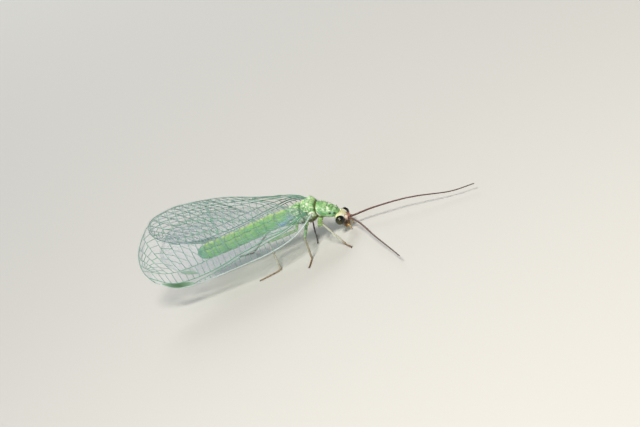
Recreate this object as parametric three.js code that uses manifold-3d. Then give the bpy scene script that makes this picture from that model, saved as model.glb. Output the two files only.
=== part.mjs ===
// A green lacewing at rest, life size, in millimetres.
// X runs forward to the head, Y to the insect's left, Z up from the ground under its feet.
// The heights and stations below are measured from the right hind foot, and the whole animal
// is moved at the end so that the origin is the middle of its outline, on the ground.

import * as THREE from 'three';
import { mergeVertices } from 'three/addons/utils/BufferGeometryUtils.js';
import Module from 'manifold-3d';

const wasm = await Module();
wasm.setup();

// Driving dimensions, in millimetres.
const GAP = 0.25; // clearance that neighbouring pieces keep
const LIMB = 0.46; // thickness of a leg
const FEELER = 0.46; // thickness of a feeler near its root
const WING = 0.45; // thickness of a wing's membrane
const RIDGE_HEIGHT = 0.13; // how far a vein stands out of the membrane
const RIDGE_WIDTH = 0.17; // from a vein's crest to the foot of its flank
const GROUND = 0; // level that the feet stand on

const BODY_SIDES = 16;
const LIMB_SIDES = 8;
const BALL_SIDES = 8;
const BALL = 1.06; // a joint's ball against the limb's own radius
const WELD = 1e-5; // corners nearer than this are one corner
const NEARLY_UPRIGHT = 0.2; // a limb that leans less than this takes its sides from another axis
const SOIL_WIDTH = 40; // block that cuts the feet off level
const SOIL_DEPTH = 2;

// How the finished surfaces shine: 0 is a mirror, 1 is chalk.
const GLOSSY = 0.15;
const SILKY = 0.3;
const SATIN = 0.5;
const MATT = 0.6;

// The colours of the living insect.
const GREEN = 0x9ccb5e;
const PALE_GREEN = 0xb7d884;
const YELLOW = 0xdde07a;
const EYE = 0x3a3a18;
const BROWN = 0x8a5f4a;
const TAN = 0xa98f6a;
const MEMBRANE = 0xb9d6c4;

const insect = new THREE.Group();

// Faces every triangle outwards: a closed shell with a negative volume is turned inside out.
function facingOut(geometry) {
  const at = geometry.attributes.position;
  const index = geometry.index;
  const corner = [new THREE.Vector3(), new THREE.Vector3(), new THREE.Vector3()];
  let volume = 0;
  for (let i = 0; i < index.count; i += 3) {
    corner.forEach((point, j) => point.fromBufferAttribute(at, index.getX(i + j)));
    volume += corner[0].dot(corner[1].clone().cross(corner[2]));
  }
  if (volume > 0) return geometry;
  for (let i = 0; i < index.count; i += 3) {
    const first = index.getX(i);
    index.setX(i, index.getX(i + 1));
    index.setX(i + 1, first);
  }
  return geometry;
}

// A closed body over rings with the same number of points, its two ends closed by flat fans.
function overRings(rings) {
  const sides = rings[0].length;
  const points = rings.flat();
  const triangles = [];
  for (let r = 0; r + 1 < rings.length; r += 1) {
    for (let s = 0; s < sides; s += 1) {
      const a = r * sides + s;
      const b = r * sides + (s + 1) % sides;
      triangles.push(a, b, b + sides, a, b + sides, a + sides);
    }
  }
  [0, rings.length - 1].forEach((r) => {
    const middle = rings[r].reduce((sum, p) => sum.add(p), new THREE.Vector3());
    points.push(middle.divideScalar(sides));
    const hub = points.length - 1;
    for (let s = 0; s < sides; s += 1) {
      const a = r * sides + s;
      const b = r * sides + (s + 1) % sides;
      if (r === 0) triangles.push(hub, b, a);
      else triangles.push(hub, a, b);
    }
  });
  const geometry = new THREE.BufferGeometry();
  const flat = points.flatMap((p) => p.toArray());
  geometry.setAttribute('position', new THREE.Float32BufferAttribute(flat, 3));
  geometry.setIndex(triangles);
  return facingOut(geometry);
}

// A part of the trunk: each station is [top x, top z, bottom x, bottom z, half width].
function trunk(stations) {
  return overRings(stations.map(([topX, topZ, lowX, lowZ, half]) => {
    const ring = [];
    for (let s = 0; s < BODY_SIDES; s += 1) {
      const turn = (2 * Math.PI * s) / BODY_SIDES;
      const share = (1 + Math.cos(turn)) / 2;
      const x = lowX + (topX - lowX) * share;
      const z = lowZ + (topZ - lowZ) * share;
      ring.push(new THREE.Vector3(x, half * Math.sin(turn), z));
    }
    return ring;
  }));
}

// A limb along points, with one radius at each, square across its own direction everywhere.
function limb(points, radii) {
  const path = points.map((p) => new THREE.Vector3(...p));
  const rings = path.map((point, i) => {
    const before = path[Math.max(i - 1, 0)];
    const after = path[Math.min(i + 1, path.length - 1)];
    const along = after.clone().sub(before).normalize();
    const side = new THREE.Vector3(0, 0, 1).cross(along);
    if (side.length() < NEARLY_UPRIGHT) side.set(1, 0, 0).cross(along);
    side.normalize();
    const up = along.clone().cross(side);
    const ring = [];
    for (let s = 0; s < LIMB_SIDES; s += 1) {
      const turn = (2 * Math.PI * (s + 0.5)) / LIMB_SIDES;
      const reach = side.clone().multiplyScalar(Math.cos(turn)).addScaledVector(up, Math.sin(turn));
      ring.push(point.clone().addScaledVector(reach, radii[i]));
    }
    return ring;
  });
  return overRings(rings);
}

// The same shape on the insect's other side.
function mirrored(geometry) {
  const copy = geometry.clone();
  const at = copy.attributes.position;
  for (let i = 0; i < at.count; i += 1) at.setY(i, -at.getY(i));
  return facingOut(copy);
}

function asManifold(geometry) {
  const bare = new THREE.BufferGeometry();
  bare.setAttribute('position', geometry.attributes.position.clone());
  if (geometry.index) bare.setIndex(geometry.index.clone());
  const merged = mergeVertices(bare, WELD);
  const vertProperties = new Float32Array(merged.attributes.position.array);
  const triVerts = new Uint32Array(merged.index.array);
  return new wasm.Manifold(new wasm.Mesh({ numProp: 3, vertProperties, triVerts }));
}

// Back from a solid to a geometry, keeping only the largest closed surface.
function asGeometry(solid) {
  const pieces = solid.decompose();
  pieces.sort((a, b) => b.volume() - a.volume());
  const mesh = pieces[0].getMesh();
  const geometry = new THREE.BufferGeometry();
  geometry.setAttribute('position', new THREE.BufferAttribute(mesh.vertProperties, 3));
  geometry.setIndex(new THREE.BufferAttribute(mesh.triVerts, 1));
  return geometry;
}

function joined(geometries) {
  return asGeometry(geometries.map(asManifold).reduce((sum, next) => sum.add(next)));
}

// Straight lengths of limb from point to point, with a ball in every bend.
function jointed(points, radii) {
  const lengths = points.slice(1).map((point, i) => limb([points[i], point], [radii[i], radii[i + 1]]));
  const balls = points.slice(1, -1).map((point, i) => {
    const ball = new THREE.SphereGeometry(radii[i + 1] * BALL, BALL_SIDES, BALL_SIDES - 2);
    return ball.translate(...point);
  });
  return joined([...lengths, ...balls]);
}

// Whatever reaches below the ground is cut off flat.
function onGround(geometry) {
  const soil = new THREE.BoxGeometry(SOIL_WIDTH, SOIL_WIDTH, SOIL_DEPTH);
  soil.translate(0, 0, GROUND - SOIL_DEPTH / 2);
  return asGeometry(asManifold(geometry).subtract(asManifold(soil)));
}

function add(name, geometry, colour, roughness = SATIN) {
  geometry.computeVertexNormals();
  const material = new THREE.MeshStandardMaterial({ color: colour, roughness, metalness: 0 });
  const mesh = new THREE.Mesh(geometry, material);
  mesh.name = name;
  insect.add(mesh);
}

function mix(a, b, share) {
  return a + (b - a) * share;
}

// A point on the line from one place towards another, a set distance along it.
function towards(from, to, distance) {
  const start = new THREE.Vector3(...from);
  const step = new THREE.Vector3(...to).sub(start).normalize();
  return start.addScaledVector(step, distance).toArray();
}

// Trunk: the abdomen is slung level under the wings, and the front is bent down to the ground.
const ABDOMEN_FRONT = 1.25;
const ABDOMEN_TIP = -5.57;
const ABDOMEN_RINGS = 9; // segments that show
const ABDOMEN_DEPTH = 0.93;
const ABDOMEN_HALF_WIDTH = 0.44;
const ABDOMEN_AXIS = 2.27; // height of its middle line at the front
const ABDOMEN_SAG = 0.22; // how far that line sinks
const ABDOMEN_LOWEST = 0.75; // share of the length where it is lowest
const WAIST = 0.80; // share of the full thickness at the front end
const WAIST_WIDENING = 1.2; // how fast that share grows backwards
const TAIL = 0.62; // share of the full thickness at the tip
const TAIL_WIDENING = 3.2; // how fast that share grows forwards
const FOLD = 0.955; // share of the thickness at the fold between two segments

function abdomen() {
  const stations = [];
  const steps = ABDOMEN_RINGS * 2;
  for (let i = 0; i <= steps; i += 1) {
    const along = i / steps;
    const x = mix(ABDOMEN_FRONT, ABDOMEN_TIP, along);
    const fromFront = Math.min(1, WAIST + WAIST_WIDENING * along);
    const swell = fromFront * Math.min(1, TAIL + TAIL_WIDENING * (1 - along));
    const fold = i % 2 === 0 ? FOLD : 1;
    const depth = ABDOMEN_DEPTH * swell * fold;
    const axis = ABDOMEN_AXIS - ABDOMEN_SAG * THREE.MathUtils.smoothstep(along, 0, ABDOMEN_LOWEST);
    stations.push([x, axis + depth / 2, x, axis - depth / 2, ABDOMEN_HALF_WIDTH * swell * fold]);
  }
  return trunk(stations);
}

const METATHORAX = [
  [1.50, 2.66, 1.50, 1.80, 0.42],
  [1.66, 2.76, 1.66, 1.68, 0.48],
  [1.88, 2.81, 1.88, 1.62, 0.51],
  [2.06, 2.78, 2.03, 1.62, 0.51],
  [2.19, 2.68, 2.13, 1.70, 0.46],
];

const MESOTHORAX = [
  [2.47, 2.66, 2.41, 1.66, 0.52],
  [2.62, 2.76, 2.54, 1.58, 0.58],
  [2.84, 2.82, 2.72, 1.55, 0.60],
  [3.04, 2.78, 2.86, 1.56, 0.60],
  [3.16, 2.66, 2.94, 1.62, 0.55],
  [3.20, 2.52, 3.00, 1.70, 0.48],
];

const PROTHORAX = [
  [3.54, 2.39, 3.30, 1.72, 0.47],
  [3.62, 2.36, 3.34, 1.60, 0.52],
  [3.88, 2.08, 3.50, 1.40, 0.52],
  [4.04, 1.88, 3.65, 1.26, 0.48],
  [4.12, 1.72, 3.74, 1.20, 0.42],
];

// The head is listed from its crown down to its mouth: each level is
// [front x, front z, back x, back z, half width], and the eyes sit on its flat cheeks.
const EYE_RADIUS = 0.31;
const EYE_CENTRE = [4.45, 0.56, 1.03];
const EYE_FLATNESS = 0.92; // half width against the radius
const EYE_SIDES = 14;
const EYE_RINGS = 10;
const EYE_INSIDE = 0.04; // from an eye's centre to its flat inner side
const EYE_CUTTER = 1; // block that cuts that side
const CHEEK = EYE_CENTRE[1] - EYE_INSIDE - GAP;
const JOWL = CHEEK + 0.02; // a little wider below the eyes
const HEAD = [
  [4.56, 1.44, 4.32, 1.46, 0.17],
  [4.66, 1.32, 4.22, 1.36, CHEEK],
  [4.71, 1.12, 4.08, 1.20, CHEEK],
  [4.72, 0.90, 4.02, 1.00, CHEEK],
  [4.66, 0.74, 4.02, 0.80, JOWL],
  [4.56, 0.60, 4.02, 0.62, JOWL],
];

const MOUTH = [
  [4.46, 0.35, 4.08, 0.35, 0.24],
  [4.40, 0.24, 4.10, 0.24, 0.20],
  [4.33, 0.14, 4.14, 0.14, 0.12],
];

// A compound eye is a dome whose flat inner side faces the cheek.
function eye() {
  const ball = new THREE.SphereGeometry(EYE_RADIUS, EYE_SIDES, EYE_RINGS);
  ball.scale(1, 1, EYE_FLATNESS);
  ball.translate(...EYE_CENTRE);
  const block = new THREE.BoxGeometry(EYE_CUTTER, EYE_CUTTER, EYE_CUTTER);
  block.translate(EYE_CENTRE[0], CHEEK + GAP - EYE_CUTTER / 2, EYE_CENTRE[2]);
  return asGeometry(asManifold(ball).subtract(asManifold(block)));
}

// Feelers are long threads that start close together on the face and taper towards the tip.
const FEELER_STEPS = 14;
const FEELER_TIP = 0.25; // share of the full thickness at the tip
const FEELER_WIDENING = 1.6; // how fast that share grows towards the root
const LEFT_FEELER = [
  [5.00, 0.375, 0.80],
  [6.60, 0.06, 0.80],
  [8.45, -0.36, 0.76],
  [9.97, -0.72, 0.70],
  [12.2, -1.19, 0.44],
  [14.0, -1.44, 0.46],
];
const RIGHT_FEELER = [
  [5.06, -0.34, 0.68],
  [6.22, -1.70, 0.80],
  [7.80, -3.70, 0.68],
  [9.30, -5.50, 0.56],
  [10.6, -7.10, 0.50],
];

function feeler(places) {
  const curve = new THREE.CatmullRomCurve3(places.map((p) => new THREE.Vector3(...p)));
  const points = [];
  const radii = [];
  for (let i = 0; i <= FEELER_STEPS; i += 1) {
    const along = i / FEELER_STEPS;
    points.push(curve.getPointAt(along).toArray());
    radii.push((FEELER / 2) * Math.min(1, FEELER_TIP + FEELER_WIDENING * (1 - along)));
  }
  return limb(points, radii);
}

// Legs: the places of the joints, from the hip to the toe. Each leg is a thigh that grows from
// the side of the thorax, a thin shank, and a foot laid flat on the ground.
const LEGS = {
  front_right: {
    hip: [3.00, -0.50, 1.10], knee: [3.92, -1.60, 1.66], ankle: [4.70, -1.95], toe: [5.30, -2.55],
  },
  middle_right: {
    hip: [2.26, -0.55, 1.30], knee: [2.60, -1.98, 1.40], ankle: [2.30, -2.10], toe: [2.42, -3.05],
  },
  hind_right: {
    hip: [1.46, -0.50, 1.36], knee: [-0.30, -1.02, 1.58], ankle: [-0.02, -1.98], toe: [-1.40, -2.32],
  },
  front_left: {
    hip: [3.25, 0.50, 1.05], knee: [2.95, 1.60, 1.20], ankle: [3.60, 1.50], toe: [3.95, 0.62],
  },
  middle_left: {
    hip: [2.40, 0.55, 1.22], knee: [1.80, 1.48, 1.44], ankle: [1.46, 1.04], toe: [2.06, -0.28],
  },
  hind_left: {
    hip: [1.62, 0.50, 1.30], knee: [-0.80, 0.96, 1.54], ankle: [-3.30, 1.72], toe: [-4.50, 1.98],
  },
};
const SHOULDER = 0.16; // how far a thigh's joint with the thorax lies above the hip's bend
const SHOULDER_BACK = 0.05; // how far it lies behind it
const SHOULDER_IN = 0.12; // and nearer the middle of the body
const KNEE_FACE = 0.30; // how far below the knee's corner the thigh's piece ends
const ANKLE_FACE = 0.24; // how far above the ankle's corner the foot's piece ends
const ANKLE_HEIGHT = 0.19; // the foot's middle line sinks from here
const TOE_HEIGHT = 0.10; // to here, so that its whole length lies on a narrow flat
const ANKLE_RADIUS = 0.95; // share of the leg's radius
const TOE_RADIUS = 0.55;

function addLeg(name, { hip, knee, ankle, toe }) {
  const inward = hip[1] < 0 ? 1 : -1;
  const socket = [hip[0] - SHOULDER_BACK, hip[1] + SHOULDER_IN * inward, hip[2] + SHOULDER];
  const heel = [...ankle, ANKLE_HEIGHT];
  const tip = [...toe, TOE_HEIGHT];
  const radius = LIMB / 2;
  const ankleRadius = radius * ANKLE_RADIUS;
  const kneeFace = towards(knee, heel, KNEE_FACE);
  const thigh = jointed([socket, hip, knee, kneeFace], [radius, radius, radius, radius]);
  add(`thigh_${name}`, thigh, PALE_GREEN);
  const shankTop = towards(knee, heel, KNEE_FACE + GAP);
  const shankEnd = towards(heel, knee, ANKLE_FACE + GAP);
  add(`shank_${name}`, limb([shankTop, shankEnd], [radius, ankleRadius]), TAN);
  const ankleFace = towards(heel, knee, ANKLE_FACE);
  const foot = jointed([ankleFace, heel, tip], [ankleRadius, ankleRadius, radius * TOE_RADIUS]);
  add(`foot_${name}`, onGround(foot), BROWN);
}

// Wings: they meet over the back like a steep roof. The roof's side is a sheet whose distance
// from the middle plane falls with height, and which closes in towards the thorax.
const CREST_SPACING = 1.3; // least step between crests, in widths of a vein's flank
const EDGE_MARGIN = 0.5; // of a flank's width, left free at the back edge
const BACK_RIDGE = 0.4; // height of the back edge's rim against a vein's
const EAVES_LEVEL = 2.3; // height at which the roof's half width is given
const ROOF_HALF_WIDTH = 2.10;
const ROOF_INTAKE = 0.85; // how much narrower it is at the wings' roots
const ROOF_INTAKE_LENGTH = 0.7;
const ROOF_ROOT = 3.0;
const ROOF_SLOPE = 0.48; // fall in half width for each millimetre of height
const ROOF_CLOSING = 0.122; // further fall with the height's square, which grows to the front
const CLOSING_LENGTH = 1.33; // as this length's exponential

function roof(x, z) {
  const intake = ROOF_INTAKE * Math.exp((x - ROOF_ROOT) / ROOF_INTAKE_LENGTH);
  const height = z - EAVES_LEVEL;
  const closing = ROOF_CLOSING * Math.exp(x / CLOSING_LENGTH) * Math.max(height, 0) ** 2;
  return ROOF_HALF_WIDTH - intake - ROOF_SLOPE * height - closing;
}

function roofNormal(x, z) {
  const step = 0.01;
  const acrossX = (roof(x + step, z) - roof(x - step, z)) / (2 * step);
  const acrossZ = (roof(x, z + step) - roof(x, z - step)) / (2 * step);
  return new THREE.Vector3(-acrossX, 1, -acrossZ).normalize();
}

// Outlines are [x, z] in side view, from the root to the tip of the wing.
const FOREWING = {
  front: [[2.80, 2.10], [2.37, 1.93], [1.22, 1.62], [-0.46, 1.50], [-2.83, 1.44], [-4.92, 1.46],
    [-6.58, 1.68], [-7.80, 2.37], [-8.41, 3.43]],
  back: [[2.76, 2.56], [2.36, 3.24], [1.01, 3.89], [-0.23, 4.47], [-2.00, 5.05], [-3.95, 5.51],
    [-5.15, 5.60], [-6.45, 5.40], [-7.46, 4.98], [-8.07, 4.33], [-8.34, 3.85]],
  inset: 0,
  columns: 26,
  // each vein is its share of the way from front to back edge at the root, middle and tip
  veins: [[0.36, 0.11, 0.06], [0.46, 0.36, 0.34], [0.56, 0.61, 0.62], [0.68, 0.75, 0.84]],
};
const HINDWING = {
  front: [[1.56, 2.60], [1.00, 2.58], [0.20, 2.60], [-0.90, 2.42], [-2.60, 2.06], [-4.60, 1.98],
    [-6.10, 2.26], [-7.00, 2.92]],
  back: [[1.56, 3.00], [1.00, 3.24], [0.20, 3.54], [-1.20, 3.96], [-3.20, 4.30], [-5.20, 4.34],
    [-6.40, 4.02], [-7.12, 3.38]],
  inset: WING + GAP + RIDGE_HEIGHT,
  columns: 22,
  veins: [[0.26, 0.22, 0.10], [0.50, 0.50, 0.46], [0.76, 0.80, 0.76]],
};

function outline(points) {
  return new THREE.SplineCurve(points.map(([x, z]) => new THREE.Vector2(x, z)));
}

// Rows across a wing: shares of its width, with a crest and two flanks for every vein.
function rowsAt(wing, along, width) {
  const foot = RIDGE_WIDTH / width;
  const rows = [[0, 1], [foot, 0]];
  wing.veins.forEach(([root, middle, tip]) => {
    const share = along < 0.5 ? mix(root, middle, along * 2) : mix(middle, tip, along * 2 - 1);
    const crest = Math.max(share, rows[rows.length - 1][0] + CREST_SPACING * foot);
    rows.push([crest - foot, 0], [crest, 1], [crest + foot, 0]);
  });
  const last = rows[rows.length - 1][0];
  const scale = Math.min(1, (1 - EDGE_MARGIN * foot) / last);
  return [...rows.map(([share, ridge]) => [share * scale, ridge]), [1, BACK_RIDGE]];
}

function wing(shape) {
  const front = outline(shape.front);
  const back = outline(shape.back);
  const outer = [];
  const inner = [];
  for (let c = 0; c <= shape.columns; c += 1) {
    const along = c / shape.columns;
    const low = front.getPointAt(along);
    const high = back.getPointAt(along);
    const width = low.distanceTo(high);
    const line = rowsAt(shape, along, width).map(([share, ridge]) => {
      const x = mix(low.x, high.x, share);
      const z = mix(low.y, high.y, share);
      const normal = roofNormal(x, z);
      const middle = new THREE.Vector3(x, roof(x, z), z);
      middle.addScaledVector(normal, -shape.inset);
      const lift = WING / 2 + RIDGE_HEIGHT * ridge;
      return [
        middle.clone().addScaledVector(normal, lift),
        middle.clone().addScaledVector(normal, -WING / 2),
      ];
    });
    outer.push(line.map((pair) => pair[0]));
    inner.push(line.map((pair) => pair[1]));
  }
  const rows = outer[0].length;
  const columns = outer.length;
  const points = [...outer.flat(), ...inner.flat()];
  const face = rows * columns;
  const triangles = [];
  const quad = (a, b, c, d) => triangles.push(a, b, c, a, c, d);
  for (let c = 0; c + 1 < columns; c += 1) {
    for (let r = 0; r + 1 < rows; r += 1) {
      const a = c * rows + r;
      quad(a, a + rows, a + rows + 1, a + 1);
      // the inner face has the same diagonals, seen from its other side
      triangles.push(face + a, face + a + rows + 1, face + a + rows);
      triangles.push(face + a, face + a + 1, face + a + rows + 1);
    }
    const front0 = c * rows;
    quad(face + front0, face + front0 + rows, front0 + rows, front0);
    const back0 = c * rows + rows - 1;
    quad(back0, back0 + rows, face + back0 + rows, face + back0);
  }
  const last = (columns - 1) * rows;
  for (let r = 0; r + 1 < rows; r += 1) {
    quad(r, r + 1, face + r + 1, face + r);
    quad(face + last + r, face + last + r + 1, last + r + 1, last + r);
  }
  const geometry = new THREE.BufferGeometry();
  const flat = points.flatMap((p) => p.toArray());
  geometry.setAttribute('position', new THREE.Float32BufferAttribute(flat, 3));
  geometry.setIndex(triangles);
  return facingOut(geometry);
}

// A wing grows from a short boss on the side of the thorax, whose flat end faces the wing's root.
const BOSS_RADIUS = 0.20;
const BOSS_START = 0.20; // from the body's middle plane
const BOSS_ROOM = 0.08; // clearance at its end beyond the gap
const BOSS_BEND = 0.12; // from its end to its bend
const BOSS_TURN = 0.10; // how far the bend is drawn in

function boss(shape, side) {
  const low = new THREE.Vector2(...shape.front[0]);
  const high = new THREE.Vector2(...shape.back[0]);
  const x = (low.x + high.x) / 2;
  const z = (low.y + high.y) / 2;
  const root = new THREE.Vector3(x, roof(x, z), z);
  root.addScaledVector(roofNormal(x, z), -shape.inset);
  const reach = low.x - shape.front[1][0];
  const further = new THREE.Vector3(x - reach, roof(x - reach, z), z);
  further.addScaledVector(roofNormal(x - reach, z), -shape.inset);
  const out = root.clone().sub(further).normalize();
  const end = root.clone().addScaledVector(out, GAP + BOSS_ROOM);
  const start = new THREE.Vector3(end.x, BOSS_START, end.z);
  const bend = end.clone().addScaledVector(out, BOSS_BEND);
  bend.y -= BOSS_TURN;
  const places = [start, bend, end].map((p) => [p.x, p.y * side, p.z]);
  return limb(places, places.map(() => BOSS_RADIUS));
}

add('head', trunk(HEAD), YELLOW);
add('mouthparts', trunk(MOUTH), BROWN);
add('eye_left', eye(), EYE, GLOSSY);
add('eye_right', mirrored(eye()), EYE, GLOSSY);
add('antenna_left', feeler(LEFT_FEELER), BROWN, MATT);
add('antenna_right', feeler(RIGHT_FEELER), BROWN, MATT);
add('prothorax', trunk(PROTHORAX), PALE_GREEN);
const mesothorax = [trunk(MESOTHORAX), boss(FOREWING, 1), boss(FOREWING, -1)];
add('mesothorax', joined(mesothorax), PALE_GREEN);
const metathorax = [trunk(METATHORAX), boss(HINDWING, 1), boss(HINDWING, -1)];
add('metathorax', joined(metathorax), PALE_GREEN);
add('abdomen', abdomen(), GREEN);
Object.entries(LEGS).forEach(([name, joints]) => addLeg(name, joints));
add('forewing_left', wing(FOREWING), MEMBRANE, SILKY);
add('forewing_right', mirrored(wing(FOREWING)), MEMBRANE, SILKY);
add('hindwing_left', wing(HINDWING), MEMBRANE, SILKY);
add('hindwing_right', mirrored(wing(HINDWING)), MEMBRANE, SILKY);

// The origin is the middle of the insect's outline, on the ground.
const box = new THREE.Box3().setFromObject(insect);
const middle = box.getCenter(new THREE.Vector3());
insect.position.set(-middle.x, -middle.y, -box.min.z);

export default insect;
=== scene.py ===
import bpy
import numpy as np
from mathutils import Matrix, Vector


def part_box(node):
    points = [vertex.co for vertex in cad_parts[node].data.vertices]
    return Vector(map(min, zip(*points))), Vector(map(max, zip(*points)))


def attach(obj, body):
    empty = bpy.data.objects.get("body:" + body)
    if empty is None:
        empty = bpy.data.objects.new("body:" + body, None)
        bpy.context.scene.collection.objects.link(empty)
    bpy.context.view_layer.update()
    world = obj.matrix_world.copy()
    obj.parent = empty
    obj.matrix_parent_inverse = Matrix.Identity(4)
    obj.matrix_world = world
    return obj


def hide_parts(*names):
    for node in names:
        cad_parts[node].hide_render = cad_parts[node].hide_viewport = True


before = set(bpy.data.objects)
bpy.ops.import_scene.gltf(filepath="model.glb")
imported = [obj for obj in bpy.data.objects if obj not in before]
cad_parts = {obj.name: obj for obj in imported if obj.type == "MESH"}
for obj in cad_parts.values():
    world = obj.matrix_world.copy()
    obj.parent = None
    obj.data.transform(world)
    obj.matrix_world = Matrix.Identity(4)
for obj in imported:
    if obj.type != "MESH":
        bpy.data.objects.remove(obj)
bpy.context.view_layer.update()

# Thorax and abdomen
# One soft skin of thin, waxy cuticle from the neck to the tail. Its plates are blown up between
# creases; the wings and legs are hinged in the creases at its sides.

# Lengths are millimetres from the right hind foot: x forward, y to the insect's left, z up.
MM = 0.001
ABDOMEN_FRONT = 1.25
ABDOMEN_TIP = -5.57
abdomen_low, abdomen_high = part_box("abdomen")
HIND_FOOT = np.array([
    abdomen_high.x / MM - ABDOMEN_FRONT,
    (abdomen_low.y + abdomen_high.y) / 2 / MM,
    0.0,
])


def in_frame(points):
    """Millimetres from the hind foot become metres in the frame: add the foot's place, then scale."""
    return (np.asarray(points) + HIND_FOOT) * MM


def linear(code):
    """An sRGB hex value as linear red, green and blue, each by the sRGB curve."""
    channels = np.array([int(code[i:i + 2], 16) / 255 for i in (1, 3, 5)])
    return np.where(channels <= 0.04045, channels / 12.92, ((channels + 0.055) / 1.055) ** 2.4)


def mixed(base, code, share):
    """A field of colour, moved towards another colour by a share from 0 to 1 at each point."""
    return base + (linear(code) - base) * np.clip(share, 0, 1)[..., None]


def painted(shape, base, layers):
    """A field of colour: one base colour, then layers of [colour, share] mixed over it in turn."""
    field = np.zeros(shape) + linear(base)
    for code, share in layers:
        field = mixed(field, code, share)
    return field


def with_ends(rings):
    """Rings of points or of colours as one list, then the mean of the first and of the last ring."""
    return np.concatenate([rings.reshape(-1, 3), rings[[0, -1]].mean(axis=1)])


def through(rows, at):
    """Rows of numbers at places 0, 1, 2..., read at any place between: a Catmull-Rom curve, the
    cubic whose slope at each row is half the step between that row's neighbours."""
    rows = np.asarray(rows, float)
    at = np.clip(np.asarray(at, float), 0, len(rows) - 1)
    start = np.minimum(at.astype(int), len(rows) - 2)
    part = (at - start)[..., None]
    padded = np.concatenate([[2 * rows[0] - rows[1]], rows, [2 * rows[-1] - rows[-2]]])
    a, b, c, d = (padded[start + k] for k in range(4))
    return b + 0.5 * part * (c - a + part * (2 * a - 5 * b + 4 * c - d + part * (3 * (b - c) + d - a)))


def lengths_along(line):
    """Distance from the start of a line to each of its points."""
    steps = np.linalg.norm(np.diff(line, axis=0), axis=1)
    return np.concatenate([[0], np.cumsum(steps)])


def unit(vectors):
    """Vectors divided by their lengths."""
    return vectors / np.maximum(np.linalg.norm(vectors, axis=-1, keepdims=True), 1e-12)


def shell(rings):
    """Rings of points, as an array of rings by points by 3, become one closed surface: four-sided
    faces from ring to ring, and a fan from the middle of each end ring."""
    count, around, _ = rings.shape
    place = np.arange(count * around).reshape(count, around)
    after = np.roll(place, -1, axis=1)
    quads = np.stack([place[:-1], after[:-1], after[1:], place[1:]], -1).reshape(-1, 4)
    hubs = np.array([count * around, count * around + 1])
    first = np.stack([after[0], place[0], np.full(around, hubs[0])], -1)
    last = np.stack([place[-1], after[-1], np.full(around, hubs[1])], -1)
    points = with_ends(rings)
    fans = np.concatenate([first, last])
    corners = np.concatenate([quads[:, [0, 1, 2]], quads[:, [0, 2, 3]], fans])
    a, b, c = (points[corners[:, k]] - points.mean(axis=0) for k in range(3))
    if (a * np.cross(b, c)).sum() < 0:
        quads, fans = quads[:, ::-1], fans[:, ::-1]
    return points, [quads, fans]


def add_piece(name, surface, material, replaced=(), tint=None):
    """A mesh piece from points in millimetres and lists of faces, with a colour at each point, that
    rides on the body, takes a slot's finish and stands for the nodes it replaces."""
    points, faces = surface
    corners = np.concatenate([face.ravel() for face in faces])
    sizes = np.concatenate([np.full(len(face), face.shape[1]) for face in faces])
    mesh = bpy.data.meshes.new(name)
    mesh.vertices.add(len(points))
    mesh.vertices.foreach_set("co", in_frame(points).ravel())
    mesh.loops.add(len(corners))
    mesh.loops.foreach_set("vertex_index", corners)
    mesh.polygons.add(len(sizes))
    mesh.polygons.foreach_set("loop_start", np.concatenate([[0], np.cumsum(sizes)[:-1]]))
    mesh.polygons.foreach_set("use_smooth", np.ones(len(sizes), bool))
    mesh.update(calc_edges=True)
    if tint is not None:
        colours = np.ones((len(points), 4))
        colours[:, :3] = np.clip(tint, 0, 1)
        mesh.attributes.new("tint", "FLOAT_COLOR", "POINT").data.foreach_set("color", colours.ravel())
    mesh.materials.append(material)
    piece = bpy.data.objects.new(name, mesh)
    bpy.context.scene.collection.objects.link(piece)
    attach(piece, "root")
    if replaced:
        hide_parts(*replaced)
    return piece


def add_node(tree, kind, settings=(), inputs=()):
    """Adds a node, sets its properties, then sets each input to a value or links it to a socket."""
    node = tree.nodes.new(kind)
    for key, value in dict(settings).items():
        setattr(node, key, value)
    for key, value in dict(inputs).items():
        if isinstance(value, bpy.types.NodeSocket):
            tree.links.new(value, node.inputs[key])
        else:
            node.inputs[key].default_value = value
    return node


def new_material(name):
    """An empty node material, with its tree and its shader already joined to the output."""
    material = bpy.data.materials.new(name)
    material.use_nodes = True
    tree = material.node_tree
    return material, tree, tree.nodes["Principled BSDF"]


def set_inputs(shader, values):
    """Sets several inputs of a shader by their names."""
    for key, value in values.items():
        shader.inputs[key].default_value = value


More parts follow.
